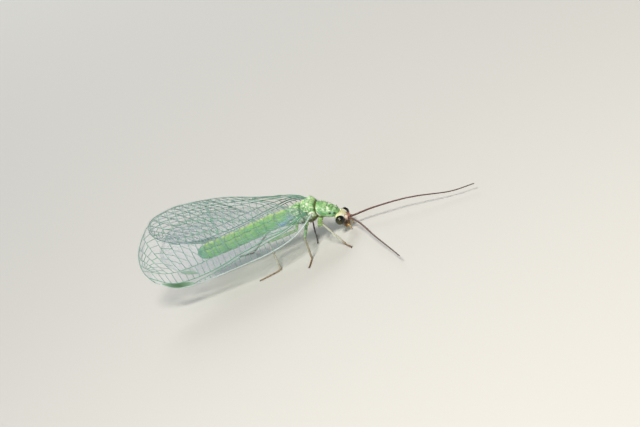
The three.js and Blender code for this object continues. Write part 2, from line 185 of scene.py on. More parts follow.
def waxy_cuticle(name, mottle_mm, wrinkle_mm, roughness, through_light):
    """Thin living cuticle with a bloom of wax. To the eye: soft and slightly see-through, a broad
    satin gloss, colour that clouds from place to place, and fine wrinkles that break the gloss."""
    material, tree, shader = new_material(name)
    where = add_node(tree, "ShaderNodeTexCoord").outputs["Object"]
    tint = add_node(tree, "ShaderNodeAttribute", {"attribute_name": "tint"}).outputs["Color"]
    cloud = add_node(tree, "ShaderNodeTexNoise", inputs={
        "Vector": where, "Scale": 1 / (mottle_mm * MM), "Detail": 3.0, "Roughness": 0.6})
    shade = add_node(tree, "ShaderNodeMapRange", inputs={
        "Value": cloud.outputs["Fac"], "From Min": 0.3, "From Max": 0.7, "To Min": 0.86, "To Max": 1.14})
    colour = add_node(tree, "ShaderNodeVectorMath", {"operation": "SCALE"}, {
        0: tint, "Scale": shade.outputs["Result"]})
    wrinkles = add_node(tree, "ShaderNodeTexNoise", inputs={
        "Vector": where, "Scale": 1 / (wrinkle_mm * MM), "Detail": 4.0, "Roughness": 0.65})
    bump = add_node(tree, "ShaderNodeBump", inputs={
        "Height": wrinkles.outputs["Fac"], "Distance": 0.012 * MM, "Strength": 0.55})
    tree.links.new(colour.outputs["Vector"], shader.inputs["Base Color"])
    tree.links.new(bump.outputs["Normal"], shader.inputs["Normal"])
    set_inputs(shader, {"Roughness": roughness, "IOR": 1.5, "Subsurface Weight": through_light,
                        "Subsurface Scale": 0.18 * MM, "Subsurface Radius": (0.7, 1.0, 0.35)})
    return material


BODY_CUTICLE = waxy_cuticle("waxy green cuticle", 0.35, 0.07, 0.42, 0.25)

# Each station is [top x, top z, bottom x, bottom z, half width], from inside the head backwards.
THORAX = [
    [4.42, 1.36, 4.20, 1.12, 0.15],
    [4.39, 1.47, 4.12, 1.12, 0.25],
    [4.35, 1.57, 4.04, 1.14, 0.33],
    [4.27, 1.68, 3.95, 1.17, 0.39],
    [4.14, 1.79, 3.83, 1.22, 0.43],
    [3.97, 1.93, 3.69, 1.29, 0.46],
    [3.78, 2.08, 3.53, 1.37, 0.48],
    [3.60, 2.24, 3.39, 1.45, 0.50],
    [3.44, 2.37, 3.26, 1.52, 0.49],
    [3.33, 2.46, 3.15, 1.55, 0.48],
    [3.27, 2.61, 3.06, 1.52, 0.52],
    [3.16, 2.74, 2.96, 1.48, 0.57],
    [2.96, 2.79, 2.81, 1.41, 0.60],
    [2.73, 2.77, 2.63, 1.37, 0.59],
    [2.50, 2.71, 2.45, 1.38, 0.55],
    [2.32, 2.63, 2.30, 1.43, 0.51],
    [2.14, 2.68, 2.14, 1.44, 0.52],
    [1.90, 2.74, 1.92, 1.48, 0.51],
    [1.66, 2.70, 1.70, 1.60, 0.47],
    [1.44, 2.64, 1.48, 1.76, 0.42],
]
ABDOMEN_AXIS = 2.27
ABDOMEN_SAG = 0.22
ABDOMEN_LOWEST = 0.75
ABDOMEN_DEPTH = 0.93
ABDOMEN_HALF_WIDTH = 0.44
ABDOMEN_STATIONS = 34
WAIST, WIDENING = 0.80, 1.2  # share of the full width at the front, and its growth by share of length
TIP_START, TIP_LENGTH, TIP_POWER = 0.84, 0.165, 2.4  # the tail is rounded as a stretched ellipse
SEGMENTS = 9
SEGMENT = (ABDOMEN_FRONT - ABDOMEN_TIP) / SEGMENTS
TRUNK_RINGS = 560
TRUNK_AROUND = 150
ROUNDNESS = 0.92  # power of the cross-section's sine and cosine: a little squarer than an ellipse


def smoothstep(low, high, value):
    """0 below one value and 1 above another, with an S-shaped rise between them."""
    share = np.clip((np.asarray(value) - low) / (high - low), 0, 1)
    return share * share * (3 - 2 * share)


def bell(value, width):
    """1 at zero, falling off on both sides as exp of minus the square of value over width."""
    return np.exp(-(np.asarray(value) / width) ** 2)


along = np.linspace(0, 1, ABDOMEN_STATIONS)
fullness = np.minimum(1, WAIST + WIDENING * along)
into_tip = np.maximum((along - TIP_START) / TIP_LENGTH, 0)
taper = np.sqrt(np.maximum(1 - into_tip ** TIP_POWER, 0.004))
middle = ABDOMEN_AXIS - ABDOMEN_SAG * smoothstep(0, ABDOMEN_LOWEST, along)
half_depth = ABDOMEN_DEPTH / 2 * fullness * taper
back = ABDOMEN_FRONT + (ABDOMEN_TIP - ABDOMEN_FRONT) * along
ABDOMEN = np.stack([back, middle + half_depth, back, middle - half_depth,
                    ABDOMEN_HALF_WIDTH * fullness * taper], -1)
TRUNK = np.concatenate([THORAX, ABDOMEN])

# Plates that stand out of the skin, and hollows in it: [x, degrees from the top, height,
# half length, half width in degrees], alike on both sides.
MOUNDS = [
    [4.14, 34, 0.030, 0.08, 20], [3.92, 30, 0.042, 0.09, 22], [3.60, 34, 0.055, 0.12, 24],
    [3.84, 74, 0.032, 0.24, 12], [3.46, 88, 0.045, 0.11, 18], [3.74, 122, 0.030, 0.16, 20],
    [4.08, 108, 0.028, 0.10, 18], [3.50, 132, 0.050, 0.10, 18],
    [3.13, 16, 0.055, 0.07, 12], [2.92, 34, 0.100, 0.18, 16], [2.54, 0, 0.105, 0.12, 19],
    [3.06, 64, 0.085, 0.08, 10], [2.80, 60, 0.095, 0.10, 11], [2.94, 102, 0.090, 0.14, 13],
    [2.66, 108, 0.075, 0.11, 15], [2.84, 136, 0.070, 0.18, 12], [2.58, 40, 0.055, 0.07, 11],
    [2.52, 78, 0.050, 0.07, 10], [3.14, 88, 0.050, 0.06, 9], [2.60, 134, 0.055, 0.08, 10],
    [2.05, 31, 0.090, 0.14, 16], [1.64, 0, 0.085, 0.10, 18], [2.08, 62, 0.070, 0.07, 10],
    [1.88, 60, 0.080, 0.10, 11], [2.04, 104, 0.075, 0.12, 13], [1.76, 112, 0.060, 0.11, 16],
    [1.96, 138, 0.060, 0.15, 12], [1.66, 46, 0.050, 0.07, 11], [3.20, 118, 0.055, 0.09, 18],
    [2.95, 0, -0.045, 0.20, 4], [2.08, 0, -0.040, 0.15, 4], [3.84, 0, -0.018, 0.30, 4],
    [2.76, 82, -0.070, 0.05, 13], [1.88, 82, -0.060, 0.05, 13], [2.74, 48, -0.050, 0.20, 3.5],
    [1.86, 46, -0.045, 0.17, 3.5], [2.40, 24, -0.040, 0.05, 18], [3.02, 82, -0.050, 0.05, 6],
]
# Creases round the body: [x, depth, half width, reaches down to this many degrees].
CREASES = [
    [4.19, 0.022, 0.028, 100], [4.01, 0.026, 0.028, 80], [3.76, 0.032, 0.028, 85],
    [3.25, 0.080, 0.042, 180], [2.77, 0.032, 0.020, 60], [2.30, 0.065, 0.038, 180],
    [1.85, 0.026, 0.018, 60], [1.38, 0.055, 0.045, 180],
]
# Seams between the side plates, and the raised ribs beside them, painted pale as highlights: from [x,
# degrees] to
# [x, degrees], height and half width in millimetres.
SEAMS = [
    [3.10, 92, 2.78, 150, -0.040, 0.022], [2.74, 94, 2.42, 150, -0.036, 0.022],
    [2.16, 96, 1.98, 150, -0.036, 0.020], [1.88, 98, 1.62, 148, -0.034, 0.020],
    [3.16, 84, 2.86, 88, 0.050, 0.026], [2.98, 120, 2.60, 86, 0.045, 0.024],
    [2.90, 74, 2.56, 66, 0.048, 0.024], [2.54, 90, 2.40, 60, 0.046, 0.024],
    [2.14, 88, 1.94, 82, 0.044, 0.022], [2.08, 118, 1.78, 90, 0.040, 0.022],
    [1.96, 72, 1.70, 64, 0.042, 0.022], [3.98, 92, 3.50, 104, -0.026, 0.020],
    [3.90, 58, 3.52, 62, 0.026, 0.024], [3.30, 78, 3.44, 132, 0.036, 0.026],
]
ARC = 0.0095  # millimetres round the thorax for each degree
CREASE_FADE = 8  # degrees over which a crease runs out
SEGMENT_SWELL, JOINT_DEPTH, JOINT_HALF_WIDTH = 0.022, 0.040, 0.035
FOLD_ANGLE, SCALLOP = 50, 8  # degrees from the top: the side fold, and how far it scallops
FOLD_LIP, FOLD_DEPTH = 0.020, 0.030
RIPPLES, RIPPLE_HEIGHT = 26, 0.0016
MOSAIC = 230  # small plates on one side of the thorax
MOSAIC_DEPTH, MOSAIC_HALF_WIDTH = 0.022, 0.028


def seams(x, degrees, table):
    """Sum over a table of straight lines on the skin: height times a bell in the distance from
    the line, measured in millimetres along and round the body."""
    heights = []
    for x0, angle0, x1, angle1, height, width in table:
        run = np.array([x1 - x0, (angle1 - angle0) * ARC])
        from_x, from_angle = x - x0, (degrees - angle0) * ARC
        share = np.clip((from_x * run[0] + from_angle * run[1]) / (run @ run), 0, 1)
        away = np.hypot(from_x - share * run[0], from_angle - share * run[1])
        heights.append(height * bell(away, width))
    return np.array(heights).sum(axis=0)


def mounds(x, degrees, table):
    """Sum over a table of mounds: height times one bell in x and another in degrees from the top."""
    total = np.zeros(np.broadcast(x, degrees).shape)
    for at, angle, height, length, width in table:
        total += height * bell(x - at, length) * bell(degrees - angle, width)
    return total


dense = np.linspace(0, len(TRUNK) - 1, 4000)
stations = through(TRUNK, dense)
line = lengths_along((stations[:, [0, 1]] + stations[:, [2, 3]]) / 2)
places = np.interp(np.linspace(0, line[-1], TRUNK_RINGS), line, dense)
stations = through(TRUNK, places)
top = np.stack([stations[:, 0], np.zeros(TRUNK_RINGS), stations[:, 1]], -1)
bottom = np.stack([stations[:, 2], np.zeros(TRUNK_RINGS), stations[:, 3]], -1)
centre = (top + bottom) / 2
half_height = np.linalg.norm(top - bottom, axis=1)[:, None] / 2
half_width = stations[:, 4][:, None]
up = unit(top - bottom)[:, None, :]
turn = np.linspace(0, 2 * np.pi, TRUNK_AROUND, endpoint=False)[None, :]
rise = np.sign(np.cos(turn)) * np.abs(np.cos(turn)) ** ROUNDNESS
spread = np.sign(np.sin(turn)) * np.abs(np.sin(turn)) ** ROUNDNESS
sideways = np.array([0.0, 1.0, 0.0])
trunk_outward = unit((rise / half_height)[..., None] * up
                     + (spread / half_width)[..., None] * sideways)

x = centre[:, 0][:, None]
degrees = np.degrees(np.minimum(turn, 2 * np.pi - turn))
size = np.minimum(half_height, half_width) / ABDOMEN_HALF_WIDTH
relief = mounds(x, degrees, MOUNDS) + seams(x, degrees, SEAMS)
for at, depth, width, reach in CREASES:
    reaching = smoothstep(reach + CREASE_FADE, reach - CREASE_FADE, degrees)
    relief -= depth * bell(x - at, width) * reaching
on_abdomen = smoothstep(ABDOMEN_FRONT + 0.1, ABDOMEN_FRONT - 0.2, x)
in_segment = ((ABDOMEN_FRONT - x) / SEGMENT) % 1
from_joint = np.minimum(in_segment, 1 - in_segment) * SEGMENT
swell = SEGMENT_SWELL * np.sin(np.pi * in_segment)
relief += on_abdomen * size * (swell - JOINT_DEPTH * bell(from_joint, JOINT_HALF_WIDTH))
# The plates of the back and of the belly meet along each side in a soft, scalloped fold.
from_fold = degrees - (FOLD_ANGLE + SCALLOP * np.abs(np.sin(np.pi * in_segment)))
relief += on_abdomen * size * (FOLD_LIP * bell(from_fold - 9, 7) - FOLD_DEPTH * bell(from_fold, 3.0))
draw = np.random.default_rng(5)
for _ in range(RIPPLES):
    pitch, twist, start = draw.uniform(2.5, 9), draw.integers(1, 7), draw.uniform(0, 6.28)
    relief += RIPPLE_HEIGHT * np.sin(pitch * x + twist * turn + start)
# Between the large plates lies a mosaic of small soft ones: each point of the skin belongs to the
# nearest of many seeds, and a crease runs where the two nearest are about equally far.
thorax = smoothstep(1.2, 1.6, x)
seed_x = draw.uniform(1.4, 4.3, MOSAIC).astype(np.float32)
seed_angle = draw.uniform(0, 155, MOSAIC).astype(np.float32)
away = np.hypot(x.astype(np.float32)[..., None] - seed_x,
                (degrees.astype(np.float32)[..., None] - seed_angle) * ARC)
nearest = away.argmin(axis=-1)
two = np.partition(away, 1, axis=-1)[..., :2]
mosaic_crease = bell(two[..., 1] - two[..., 0], MOSAIC_HALF_WIDTH)
mosaic_crease = mosaic_crease * thorax * (1 - 0.5 * smoothstep(3.2, 3.4, x))
relief -= MOSAIC_DEPTH * mosaic_crease
plate_tone = draw.uniform(0, 1, MOSAIC)[nearest]
trunk_rings = centre[:, None, :] + (half_height * rise)[..., None] * up
trunk_rings = trunk_rings + (half_width * spread)[..., None] * sideways
trunk_rings = trunk_rings + relief[..., None] * trunk_outward

# The skin's colours, laid over each other from the base up: plates with painted highlights on their
# raised parts and painted shade in their hollows, then the abdomen, then marks
mound_highlight = smoothstep(0.01, 0.09, mounds(x, degrees, MOUNDS)) * thorax
rib_highlight = smoothstep(0.006, 0.035, seams(x, degrees, SEAMS)) * thorax
hollow_shade = smoothstep(0.002, 0.045, -relief) * thorax
belly_shade = smoothstep(98, 128, degrees) * thorax * smoothstep(3.9, 3.5, x)
skin = painted(trunk_rings.shape, "#74c648", [
    ["#92da5c", smoothstep(75, 25, degrees)],
    ["#aedc9f", 0.90 * thorax],
    # pale on the raised plates: a painted highlight
    ["#dbf1c8", 0.62 * mound_highlight],
    ["#e6e98f", 0.55 * thorax * bell(degrees, 14) * smoothstep(0, 0.05, relief)],
    ["#f6f9e8", 0.80 * thorax * smoothstep(0.58, 0.90, plate_tone)],
    ["#6aa85e", 0.65 * thorax * smoothstep(0.36, 0.05, plate_tone)],
    # darker along the creases between the small plates: painted shade
    ["#4f9060", 0.70 * mosaic_crease],
    # pale along the raised ribs: a painted highlight
    ["#f4f6e6", 0.85 * rib_highlight],
    # dark green in the hollows of the relief: painted shade
    ["#35662f", 0.85 * hollow_shade],
    # olive brown in the deep crease behind the thorax's first part: painted shade
    ["#6d6423", 0.85 * bell(x - 3.25, 0.035) * smoothstep(130, 90, degrees)],
    # dark olive brown on the thorax's underside: painted shade
    ["#585018", 0.88 * belly_shade],
    ["#63a86c", 0.50 * bell(degrees - 74, 16) * smoothstep(3.35, 3.5, x)],
    # a yellow line down the back, bright sides, a dark scalloped line, painted shade on the underside, a
    # blue-green tip
    ["#cfe04f", 0.85 * on_abdomen * bell(degrees, 19)],
    ["#8fd03f", 0.75 * on_abdomen * bell(degrees - 34, 14)],
    ["#2f6b2a", 0.75 * on_abdomen * bell(from_fold, 4.5)],
    ["#b4dc68", 0.65 * on_abdomen * bell(from_fold - 13, 8)],
    # darker green on the abdomen's underside: painted shade
    ["#5ea044", 0.65 * on_abdomen * smoothstep(118, 150, degrees)],
    ["#4f9a35", 0.60 * on_abdomen * bell(from_joint, 0.045)],
    ["#274f22", 0.55 * on_abdomen * bell(from_joint, 0.022) * bell(degrees - 26, 20)],
    ["#52b488", 0.85 * smoothstep(-4.70, -5.30, x)],
    # black marks with a blue sheen between them, on the side of the thorax's first part
    ["#0f100a", 1.5 * bell(x - 3.97, 0.050) * bell(degrees - 74, 9)],
    ["#0f100a", 1.5 * bell(x - 4.17, 0.050) * bell(degrees - 70, 9)],
    ["#8fbcc0", 0.8 * bell(x - 4.07, 0.045) * bell(degrees - 72, 10)],
    ["#2f5a2c", 0.8 * bell(x - 3.74, 0.055) * bell(degrees - 52, 7)],
    ["#5d8f8a", 0.6 * bell(x - 3.50, 0.08) * bell(degrees - 84, 12)],
])
add_piece("thorax_and_abdomen", shell(trunk_rings), BODY_CUTICLE,
          ["prothorax", "mesothorax", "metathorax", "abdomen"], with_ends(skin))

# Head
# A hard little capsule bent down on a short neck: domed crown, flat cheeks where the eyes sit,
# two sockets for the feelers, and a face that narrows to the mouth. Pale, waxy cuticle with marks.

HEAD_CUTICLE = waxy_cuticle("pale head cuticle", 0.20, 0.045, 0.34, 0.22)
HEAD_CENTRE = np.array([4.37, 0.0, 0.86])
# Rounded masses that melt into each other: [centre x, y, z, half sizes x, y, z], and mirrored.
HEAD_MASSES = [
    [4.33, 0.00, 1.00, 0.29, 0.36, 0.30], [4.35, 0.12, 1.17, 0.18, 0.18, 0.13],
    [4.20, 0.10, 1.10, 0.20, 0.26, 0.22], [4.46, 0.00, 0.80, 0.24, 0.30, 0.26],
    [4.36, 0.18, 0.72, 0.22, 0.18, 0.24], [4.40, 0.00, 0.56, 0.20, 0.24, 0.20],
    [4.34, 0.10, 0.44, 0.17, 0.14, 0.16], [4.57, 0.15, 0.89, 0.08, 0.10, 0.10],
    [4.38, 0.00, 0.40, 0.15, 0.15, 0.12], [4.36, 0.27, 0.98, 0.24, 0.15, 0.28],
]
MELT = 0.16
HALVINGS = 26


def melted_reach(centre, directions, masses, melt):
    """Distance from a centre to a smooth union of ellipsoids, along each direction. A point is
    inside while the sum of exp((1 - scaled distance) / melt) over the ellipsoids is above 1; the
    edge is found by halving the span again and again."""
    near = np.zeros(directions.shape[:-1])
    far = np.full(directions.shape[:-1], 1.2)
    for _ in range(HALVINGS):
        half = (near + far) / 2
        points = centre + directions * half[..., None]
        total = np.zeros(half.shape)
        for mass in masses:
            for side in ((1, -1) if mass[1] else (1,)):
                offset = points - np.array([mass[0], mass[1] * side, mass[2]])
                total += np.exp((1 - np.linalg.norm(offset / mass[3:], axis=-1)) / melt)
        inside = total > 1
        near, far = np.where(inside, half, near), np.where(inside, far, half)
    return half


HEAD_RINGS = 150
HEAD_AROUND = 190
tip = np.linspace(0.012, np.pi - 0.012, HEAD_RINGS)[:, None]
turn = np.linspace(0, 2 * np.pi, HEAD_AROUND, endpoint=False)[None, :]
directions = np.stack([np.sin(tip) * np.cos(turn), np.sin(tip) * np.sin(turn),
                       np.cos(tip) + 0 * turn], -1)
reach = melted_reach(HEAD_CENTRE, directions, HEAD_MASSES, MELT)
points = HEAD_CENTRE + directions * reach[..., None]
x, y, z = points[..., 0], np.abs(points[..., 1]), points[..., 2]
front = smoothstep(4.42, 4.56, x)
# grooves above the lip and the mouth, down the crown and inside the cheeks, then a faint swell
relief = -0.020 * bell(z - 0.585, 0.016) * front * smoothstep(0.30, 0.22, y)
relief -= 0.018 * bell(z - 0.43, 0.014) * front * smoothstep(0.26, 0.20, y)
relief -= 0.015 * bell(y - 0.02, 0.02) * smoothstep(1.1, 1.2, z)
relief -= 0.020 * bell(y - 0.27, 0.02) * bell(z - 0.66, 0.16) * front
relief += 0.0036 * np.sin(x * 31 + z * 23) * np.sin(y * 37)
from_socket = np.hypot(y - 0.15, z - 0.89)
relief += front * (0.022 * bell(from_socket - 0.095, 0.02) - 0.04 * bell(from_socket, 0.06))
points = points + directions * relief[..., None]

crown = smoothstep(1.1, 1.2, z)
skin = painted(points.shape, "#e4e2ae", [
    # near white on the crown beside the eye: a painted highlight
    ["#fdfcf0", bell(z - 1.08, 0.16) * bell(y - 0.25, 0.10)],
    ["#c9dc86", 0.60 * smoothstep(4.22, 4.08, x)],
    ["#6f4315", 0.94 * smoothstep(0.86, 0.64, z)],
    ["#f8f4e0", 0.85 * bell(z - 0.90, 0.10) * bell(y - 0.02, 0.06) * front],
    ["#2c180d", 0.95 * bell(y - 0.27, 0.07) * bell(z - 0.62, 0.18) * smoothstep(4.15, 4.35, x)],
    ["#7b3a24", 0.85 * front * bell(from_socket - 0.12, 0.030)],
    ["#2e2a16", 0.90 * bell(y - 0.10, 0.036) * bell(x - 4.47, 0.036) * crown],
    ["#5b3a1c", 0.80 * bell(z - 0.585, 0.02) * front],
    ["#6b4a20", 0.60 * smoothstep(0.42, 0.30, z)],
])
add_piece("head_capsule", shell(points), HEAD_CUTICLE, ["head"], with_ends(skin))

# Eyes
# Two near-half globes of many hexagonal lenses, clear and hard as varnish over dark pigment, with a
# painted golden-green sheen on their outward faces. They are separate pieces let into the cheeks.

EYE_CENTRE = np.array([4.36, 0.44, 0.945])
EYE_HALF = np.array([0.285, 0.28, 0.285])
LENSES = 1500  # real ones are about 0.02 mm across; these are 0.028 mm, so that they show
LENS_HEIGHT = 0.0035
EYE_RINGS = 170
EYE_AROUND = 260

tip = np.linspace(0.008, np.pi - 0.008, EYE_RINGS)[:, None]
turn = np.linspace(0, 2 * np.pi, EYE_AROUND, endpoint=False)[None, :]
directions = np.stack([np.sin(tip) * np.cos(turn), np.cos(tip) + 0 * turn,
                       np.sin(tip) * np.sin(turn)], -1)
count = np.arange(LENSES)
# Lens centres lie on a spiral that turns by the golden angle, evenly spread over the ball.
height = 1 - 2 * (count + 0.5) / LENSES
swing = count * np.pi * (3 - np.sqrt(5))
flat = np.sqrt(1 - height ** 2)
lenses = np.stack([flat * np.cos(swing), height, flat * np.sin(swing)], -1).astype(np.float32)
nearest = np.concatenate([(part.reshape(-1, 3).astype(np.float32) @ lenses.T).max(axis=1)
                          for part in np.array_split(directions, 10)])
off_axis = np.arccos(np.clip(nearest, -1, 1)).reshape(directions.shape[:2])
lens_angle = np.sqrt(4 / LENSES)
dome = LENS_HEIGHT * (1 - (off_axis / lens_angle) ** 2)
ball = directions * (EYE_HALF + dome[..., None])

EYE_LENS, tree, shader = new_material("compound eye under clear lenses")
tint = add_node(tree, "ShaderNodeAttribute", {"attribute_name": "tint"}).outputs["Color"]
tree.links.new(tint, shader.inputs["Base Color"])
set_inputs(shader, {"Metallic": 0.30, "Roughness": 0.24, "Coat Weight": 0.6, "Coat Roughness": 0.05})

out = directions[..., 1]
# golden green on the outward face and a green ring round it: a painted sheen over the dark pigment
skin = painted(ball.shape, "#0a0a05", [
    ["#57540f", 0.70 * smoothstep(0.72, 1.0, out)],
    ["#24331a", 0.50 * bell(out - 0.55, 0.15)],
    ["#0a0905", 0.60 * smoothstep(0.6, 1.0, off_axis / lens_angle)],
])
for side, name in ((1, "left"), (-1, "right")):
    eye = (EYE_CENTRE + ball) * [1, side, 1]
    add_piece(f"eye_ball_{name}", shell(eye), EYE_LENS, [f"eye_{name}"], with_ends(skin))

# Feelers
# Threads of about ninety short joints on a thick first joint and a small second one, all of firm
# brown cuticle with short hairs. They turn in the sockets of the face.


def sweep(path, radii, across, sides=12, flatten=1.0):
    """Rings round a path: at each point, a circle of the given radius in the plane square to the
    path. One axis of the circle lies as near as it can to the direction 'across', and the other
    axis may be flattened."""
    path = np.asarray(path, float)
    ahead = unit(np.gradient(path, axis=0))
    across = np.broadcast_to(np.asarray(across, float), path.shape)
    first = unit(across - ahead * (across * ahead).sum(axis=1, keepdims=True))
    second = np.cross(ahead, first)
    turn = np.linspace(0, 2 * np.pi, sides, endpoint=False)[None, :, None]
    radii = np.broadcast_to(radii, len(path))[:, None, None]
    circle = np.cos(turn) * first[:, None, :] + flatten * np.sin(turn) * second[:, None, :]
    return path[:, None, :] + radii * circle


def round_each(colours, sides):
    """A colour for each ring, repeated round it, as one list with the two ends."""
    return with_ends(np.repeat(colours[:, None, :], sides, axis=1))


def evenly(points, count):
    """A Catmull-Rom curve through points, read at places spaced evenly by length."""
    dense = through(points, np.linspace(0, len(points) - 1, 60 * len(points)))
    line = lengths_along(dense)
    want = np.linspace(0, line[-1], count)
    return np.stack([np.interp(want, line, dense[:, k]) for k in range(3)], -1)


FEELERS = {
    "left": [[4.58, 0.15, 0.92], [4.66, 0.15, 0.80], [4.76, 0.16, 0.69], [5.10, 0.17, 0.66],
             [5.60, 0.15, 0.68], [6.60, -0.03, 0.75], [8.45, -0.36, 0.76], [9.97, -0.72, 0.70],
             [12.2, -1.19, 0.44], [14.0, -1.44, 0.46]],
    "right": [[4.56, -0.15, 0.92], [4.69, -0.16, 0.82], [4.82, -0.19, 0.76], [5.10, -0.40, 0.74],
              [6.22, -1.70, 0.80], [7.80, -3.70, 0.68], [9.30, -5.50, 0.56], [10.6, -7.10, 0.50]],
}
FEELER_JOINTS = 92
RINGS_PER_JOINT = 6
FEELER_SIDES = 14
FEELER_RADII = [0.056, 0.026]  # at the root and at the tip
SCAPE_LENGTH, SCAPE_SWELL = 0.25, 0.066  # the thick first joint
PEDICEL_LENGTH, PEDICEL_SWELL = 0.10, 0.026  # the small second joint

FEELER_CUTICLE = waxy_cuticle("brown feeler cuticle", 0.25, 0.03, 0.5, 0.0)
feeler_paths = {}
for side, places in FEELERS.items():
    path = evenly(places, FEELER_JOINTS * RINGS_PER_JOINT)
    gone = lengths_along(path)
    share = gone / gone[-1]
    in_joint = (np.arange(len(path)) % RINGS_PER_JOINT) / RINGS_PER_JOINT
    radius = FEELER_RADII[0] * (1 - share) + FEELER_RADII[1] * share
    radius = radius * (0.90 + 0.16 * np.sin(np.pi * in_joint) ** 0.7)
    scape = smoothstep(SCAPE_LENGTH + 0.03, SCAPE_LENGTH - 0.03, gone)
    pedicel = bell(gone - SCAPE_LENGTH - PEDICEL_LENGTH / 2, PEDICEL_LENGTH * 0.6)
    radius = radius + scape * (SCAPE_SWELL + 0.012 * np.sin(gone * 16)) + PEDICEL_SWELL * pedicel
    radius = radius - 0.030 * bell(gone - SCAPE_LENGTH, 0.018)
    radius = radius * np.minimum(1, 0.2 + (gone[-1] - gone) / 0.05)
    colours = painted((len(path), 3), "#6b4a44", [
        ["#4a302c", smoothstep(0.35, 1.0, share)],
        ["#33201c", 0.5 * (in_joint < 0.2)],
        # the left first joint, on the far side, is painted darker than the right one: painted shade
        ["#ddd3c2" if side == "right" else "#9a6156", scape],
        ["#c98f86", 0.6 * scape * smoothstep(0.08, 0.2, gone)],
        ["#2b1a14", 0.9 * bell(gone - SCAPE_LENGTH, 0.03)],
    ])
    rings = sweep(path, radius, [0, 0, 1], sides=FEELER_SIDES)
    add_piece(f"feeler_{side}", shell(rings), FEELER_CUTICLE, [f"antenna_{side}"],
              round_each(colours, FEELER_SIDES))
    feeler_paths[side] = (path, radius)

# Mouthparts
# Lip, two biting jaws and four jointed palps, hinged under the face. Golden-brown cuticle, with the
# palps paler and their joints dark.

MOUTH_CUTICLE = waxy_cuticle("golden mouth cuticle", 0.12, 0.03, 0.36, 0.15)
# Each palp: its path from the face to the tip, and its radius.
PALPS = [
    ([[4.40, 0.17, 0.48], [4.52, 0.25, 0.42], [4.60, 0.28, 0.32], [4.60, 0.27, 0.20],
      [4.53, 0.24, 0.09]], 0.040),
    ([[4.28, 0.10, 0.40], [4.30, 0.16, 0.30], [4.30, 0.17, 0.20], [4.25, 0.15, 0.11]], 0.034),
]
JAW = [[4.40, 0.16, 0.42], [4.44, 0.17, 0.34], [4.44, 0.12, 0.26], [4.42, 0.03, 0.20]]
LIP = [[4.48, 0.00, 0.45], [4.50, 0.00, 0.37], [4.47, 0.00, 0.29], [4.43, 0.00, 0.25]]
LOWER_LIP = [[4.26, 0.00, 0.46], [4.25, 0.00, 0.36], [4.28, 0.00, 0.26], [4.32, 0.00, 0.20]]
LIP_RADIUS, LOWER_LIP_RADIUS, JAW_RADIUS = 0.13, 0.12, 0.075
MOUTH_SIDES = 18
PALP_RINGS, JAW_RINGS, LIP_RINGS = 90, 60, 50
mouth_shells, mouth_tints = [], []


def joined(shells):
    """Several surfaces as one list of points and faces."""
    points, faces, start = [], [], 0
    for part, lists in shells:
        points.append(part)
        faces.extend(face + start for face in lists)
        start += len(part)
    return np.concatenate(points), faces


def add_mouth(path, radius, colours, flatten=1.0):
    """A rounded piece along a path, in a colour field along its length, for the mouth's mesh."""
    mouth_shells.append(shell(sweep(path, radius, [0, 1, 0], sides=MOUTH_SIDES, flatten=flatten)))
    mouth_tints.append(round_each(colours, MOUTH_SIDES))


for side in (1, -1):
    share = np.linspace(0, 1, PALP_RINGS)
    for places, thick in PALPS:
        in_joint = (share * (len(places) - 1)) % 1
        radius = thick * (0.62 + 0.42 * np.sin(np.pi * in_joint) ** 0.6)
        radius = radius * np.sqrt(np.clip((1 - share) / 0.10, 0.02, 1))
        from_joint = np.minimum(in_joint, 1 - in_joint)
        add_mouth(evenly(np.array(places) * [1, side, 1], PALP_RINGS), radius,
                  painted((PALP_RINGS, 3), "#cdb27a", [["#5a3a1c", 0.8 * bell(from_joint, 0.10)]]))
    share = np.linspace(0, 1, JAW_RINGS)
    radius = JAW_RADIUS * np.sqrt(np.clip(share / 0.08, 0.05, 1)) * (1 - 0.86 * share ** 1.5)
    add_mouth(evenly(np.array(JAW) * [1, side, 1], JAW_RINGS), radius,
              painted((JAW_RINGS, 3), "#b07a2e", [["#3a1f10", smoothstep(0.55, 0.95, share)]]), 0.7)
share = np.linspace(0, 1, LIP_RINGS)
rounding = np.sqrt(np.clip(share / 0.1, 0.03, 1)) * np.sqrt(np.clip((1 - share) / 0.45, 0.02, 1))
for places, thick in ((LIP, LIP_RADIUS), (LOWER_LIP, LOWER_LIP_RADIUS)):
    add_mouth(evenly(places, LIP_RINGS), thick * rounding,
              painted((LIP_RINGS, 3), "#c08a3a", [["#7a4c20", smoothstep(0.5, 1.0, share)]]), 0.32)
add_piece("mouth_and_palps", joined(mouth_shells), MOUTH_CUTICLE, ["mouthparts"],
          np.concatenate(mouth_tints))

# Legs
# Each leg is one thin jointed tube: a stout hip piece under the thorax, a green thigh, a pale shank
# and a foot of five short joints that lies flat, ending in two hooked claws round a soft pad.

LEG_CUTICLE = waxy_cuticle("pale leg cuticle", 0.20, 0.035, 0.42, 0.2)
CLAW_HORN = waxy_cuticle("dark claw horn", 0.10, 0.02, 0.25, 0.0)
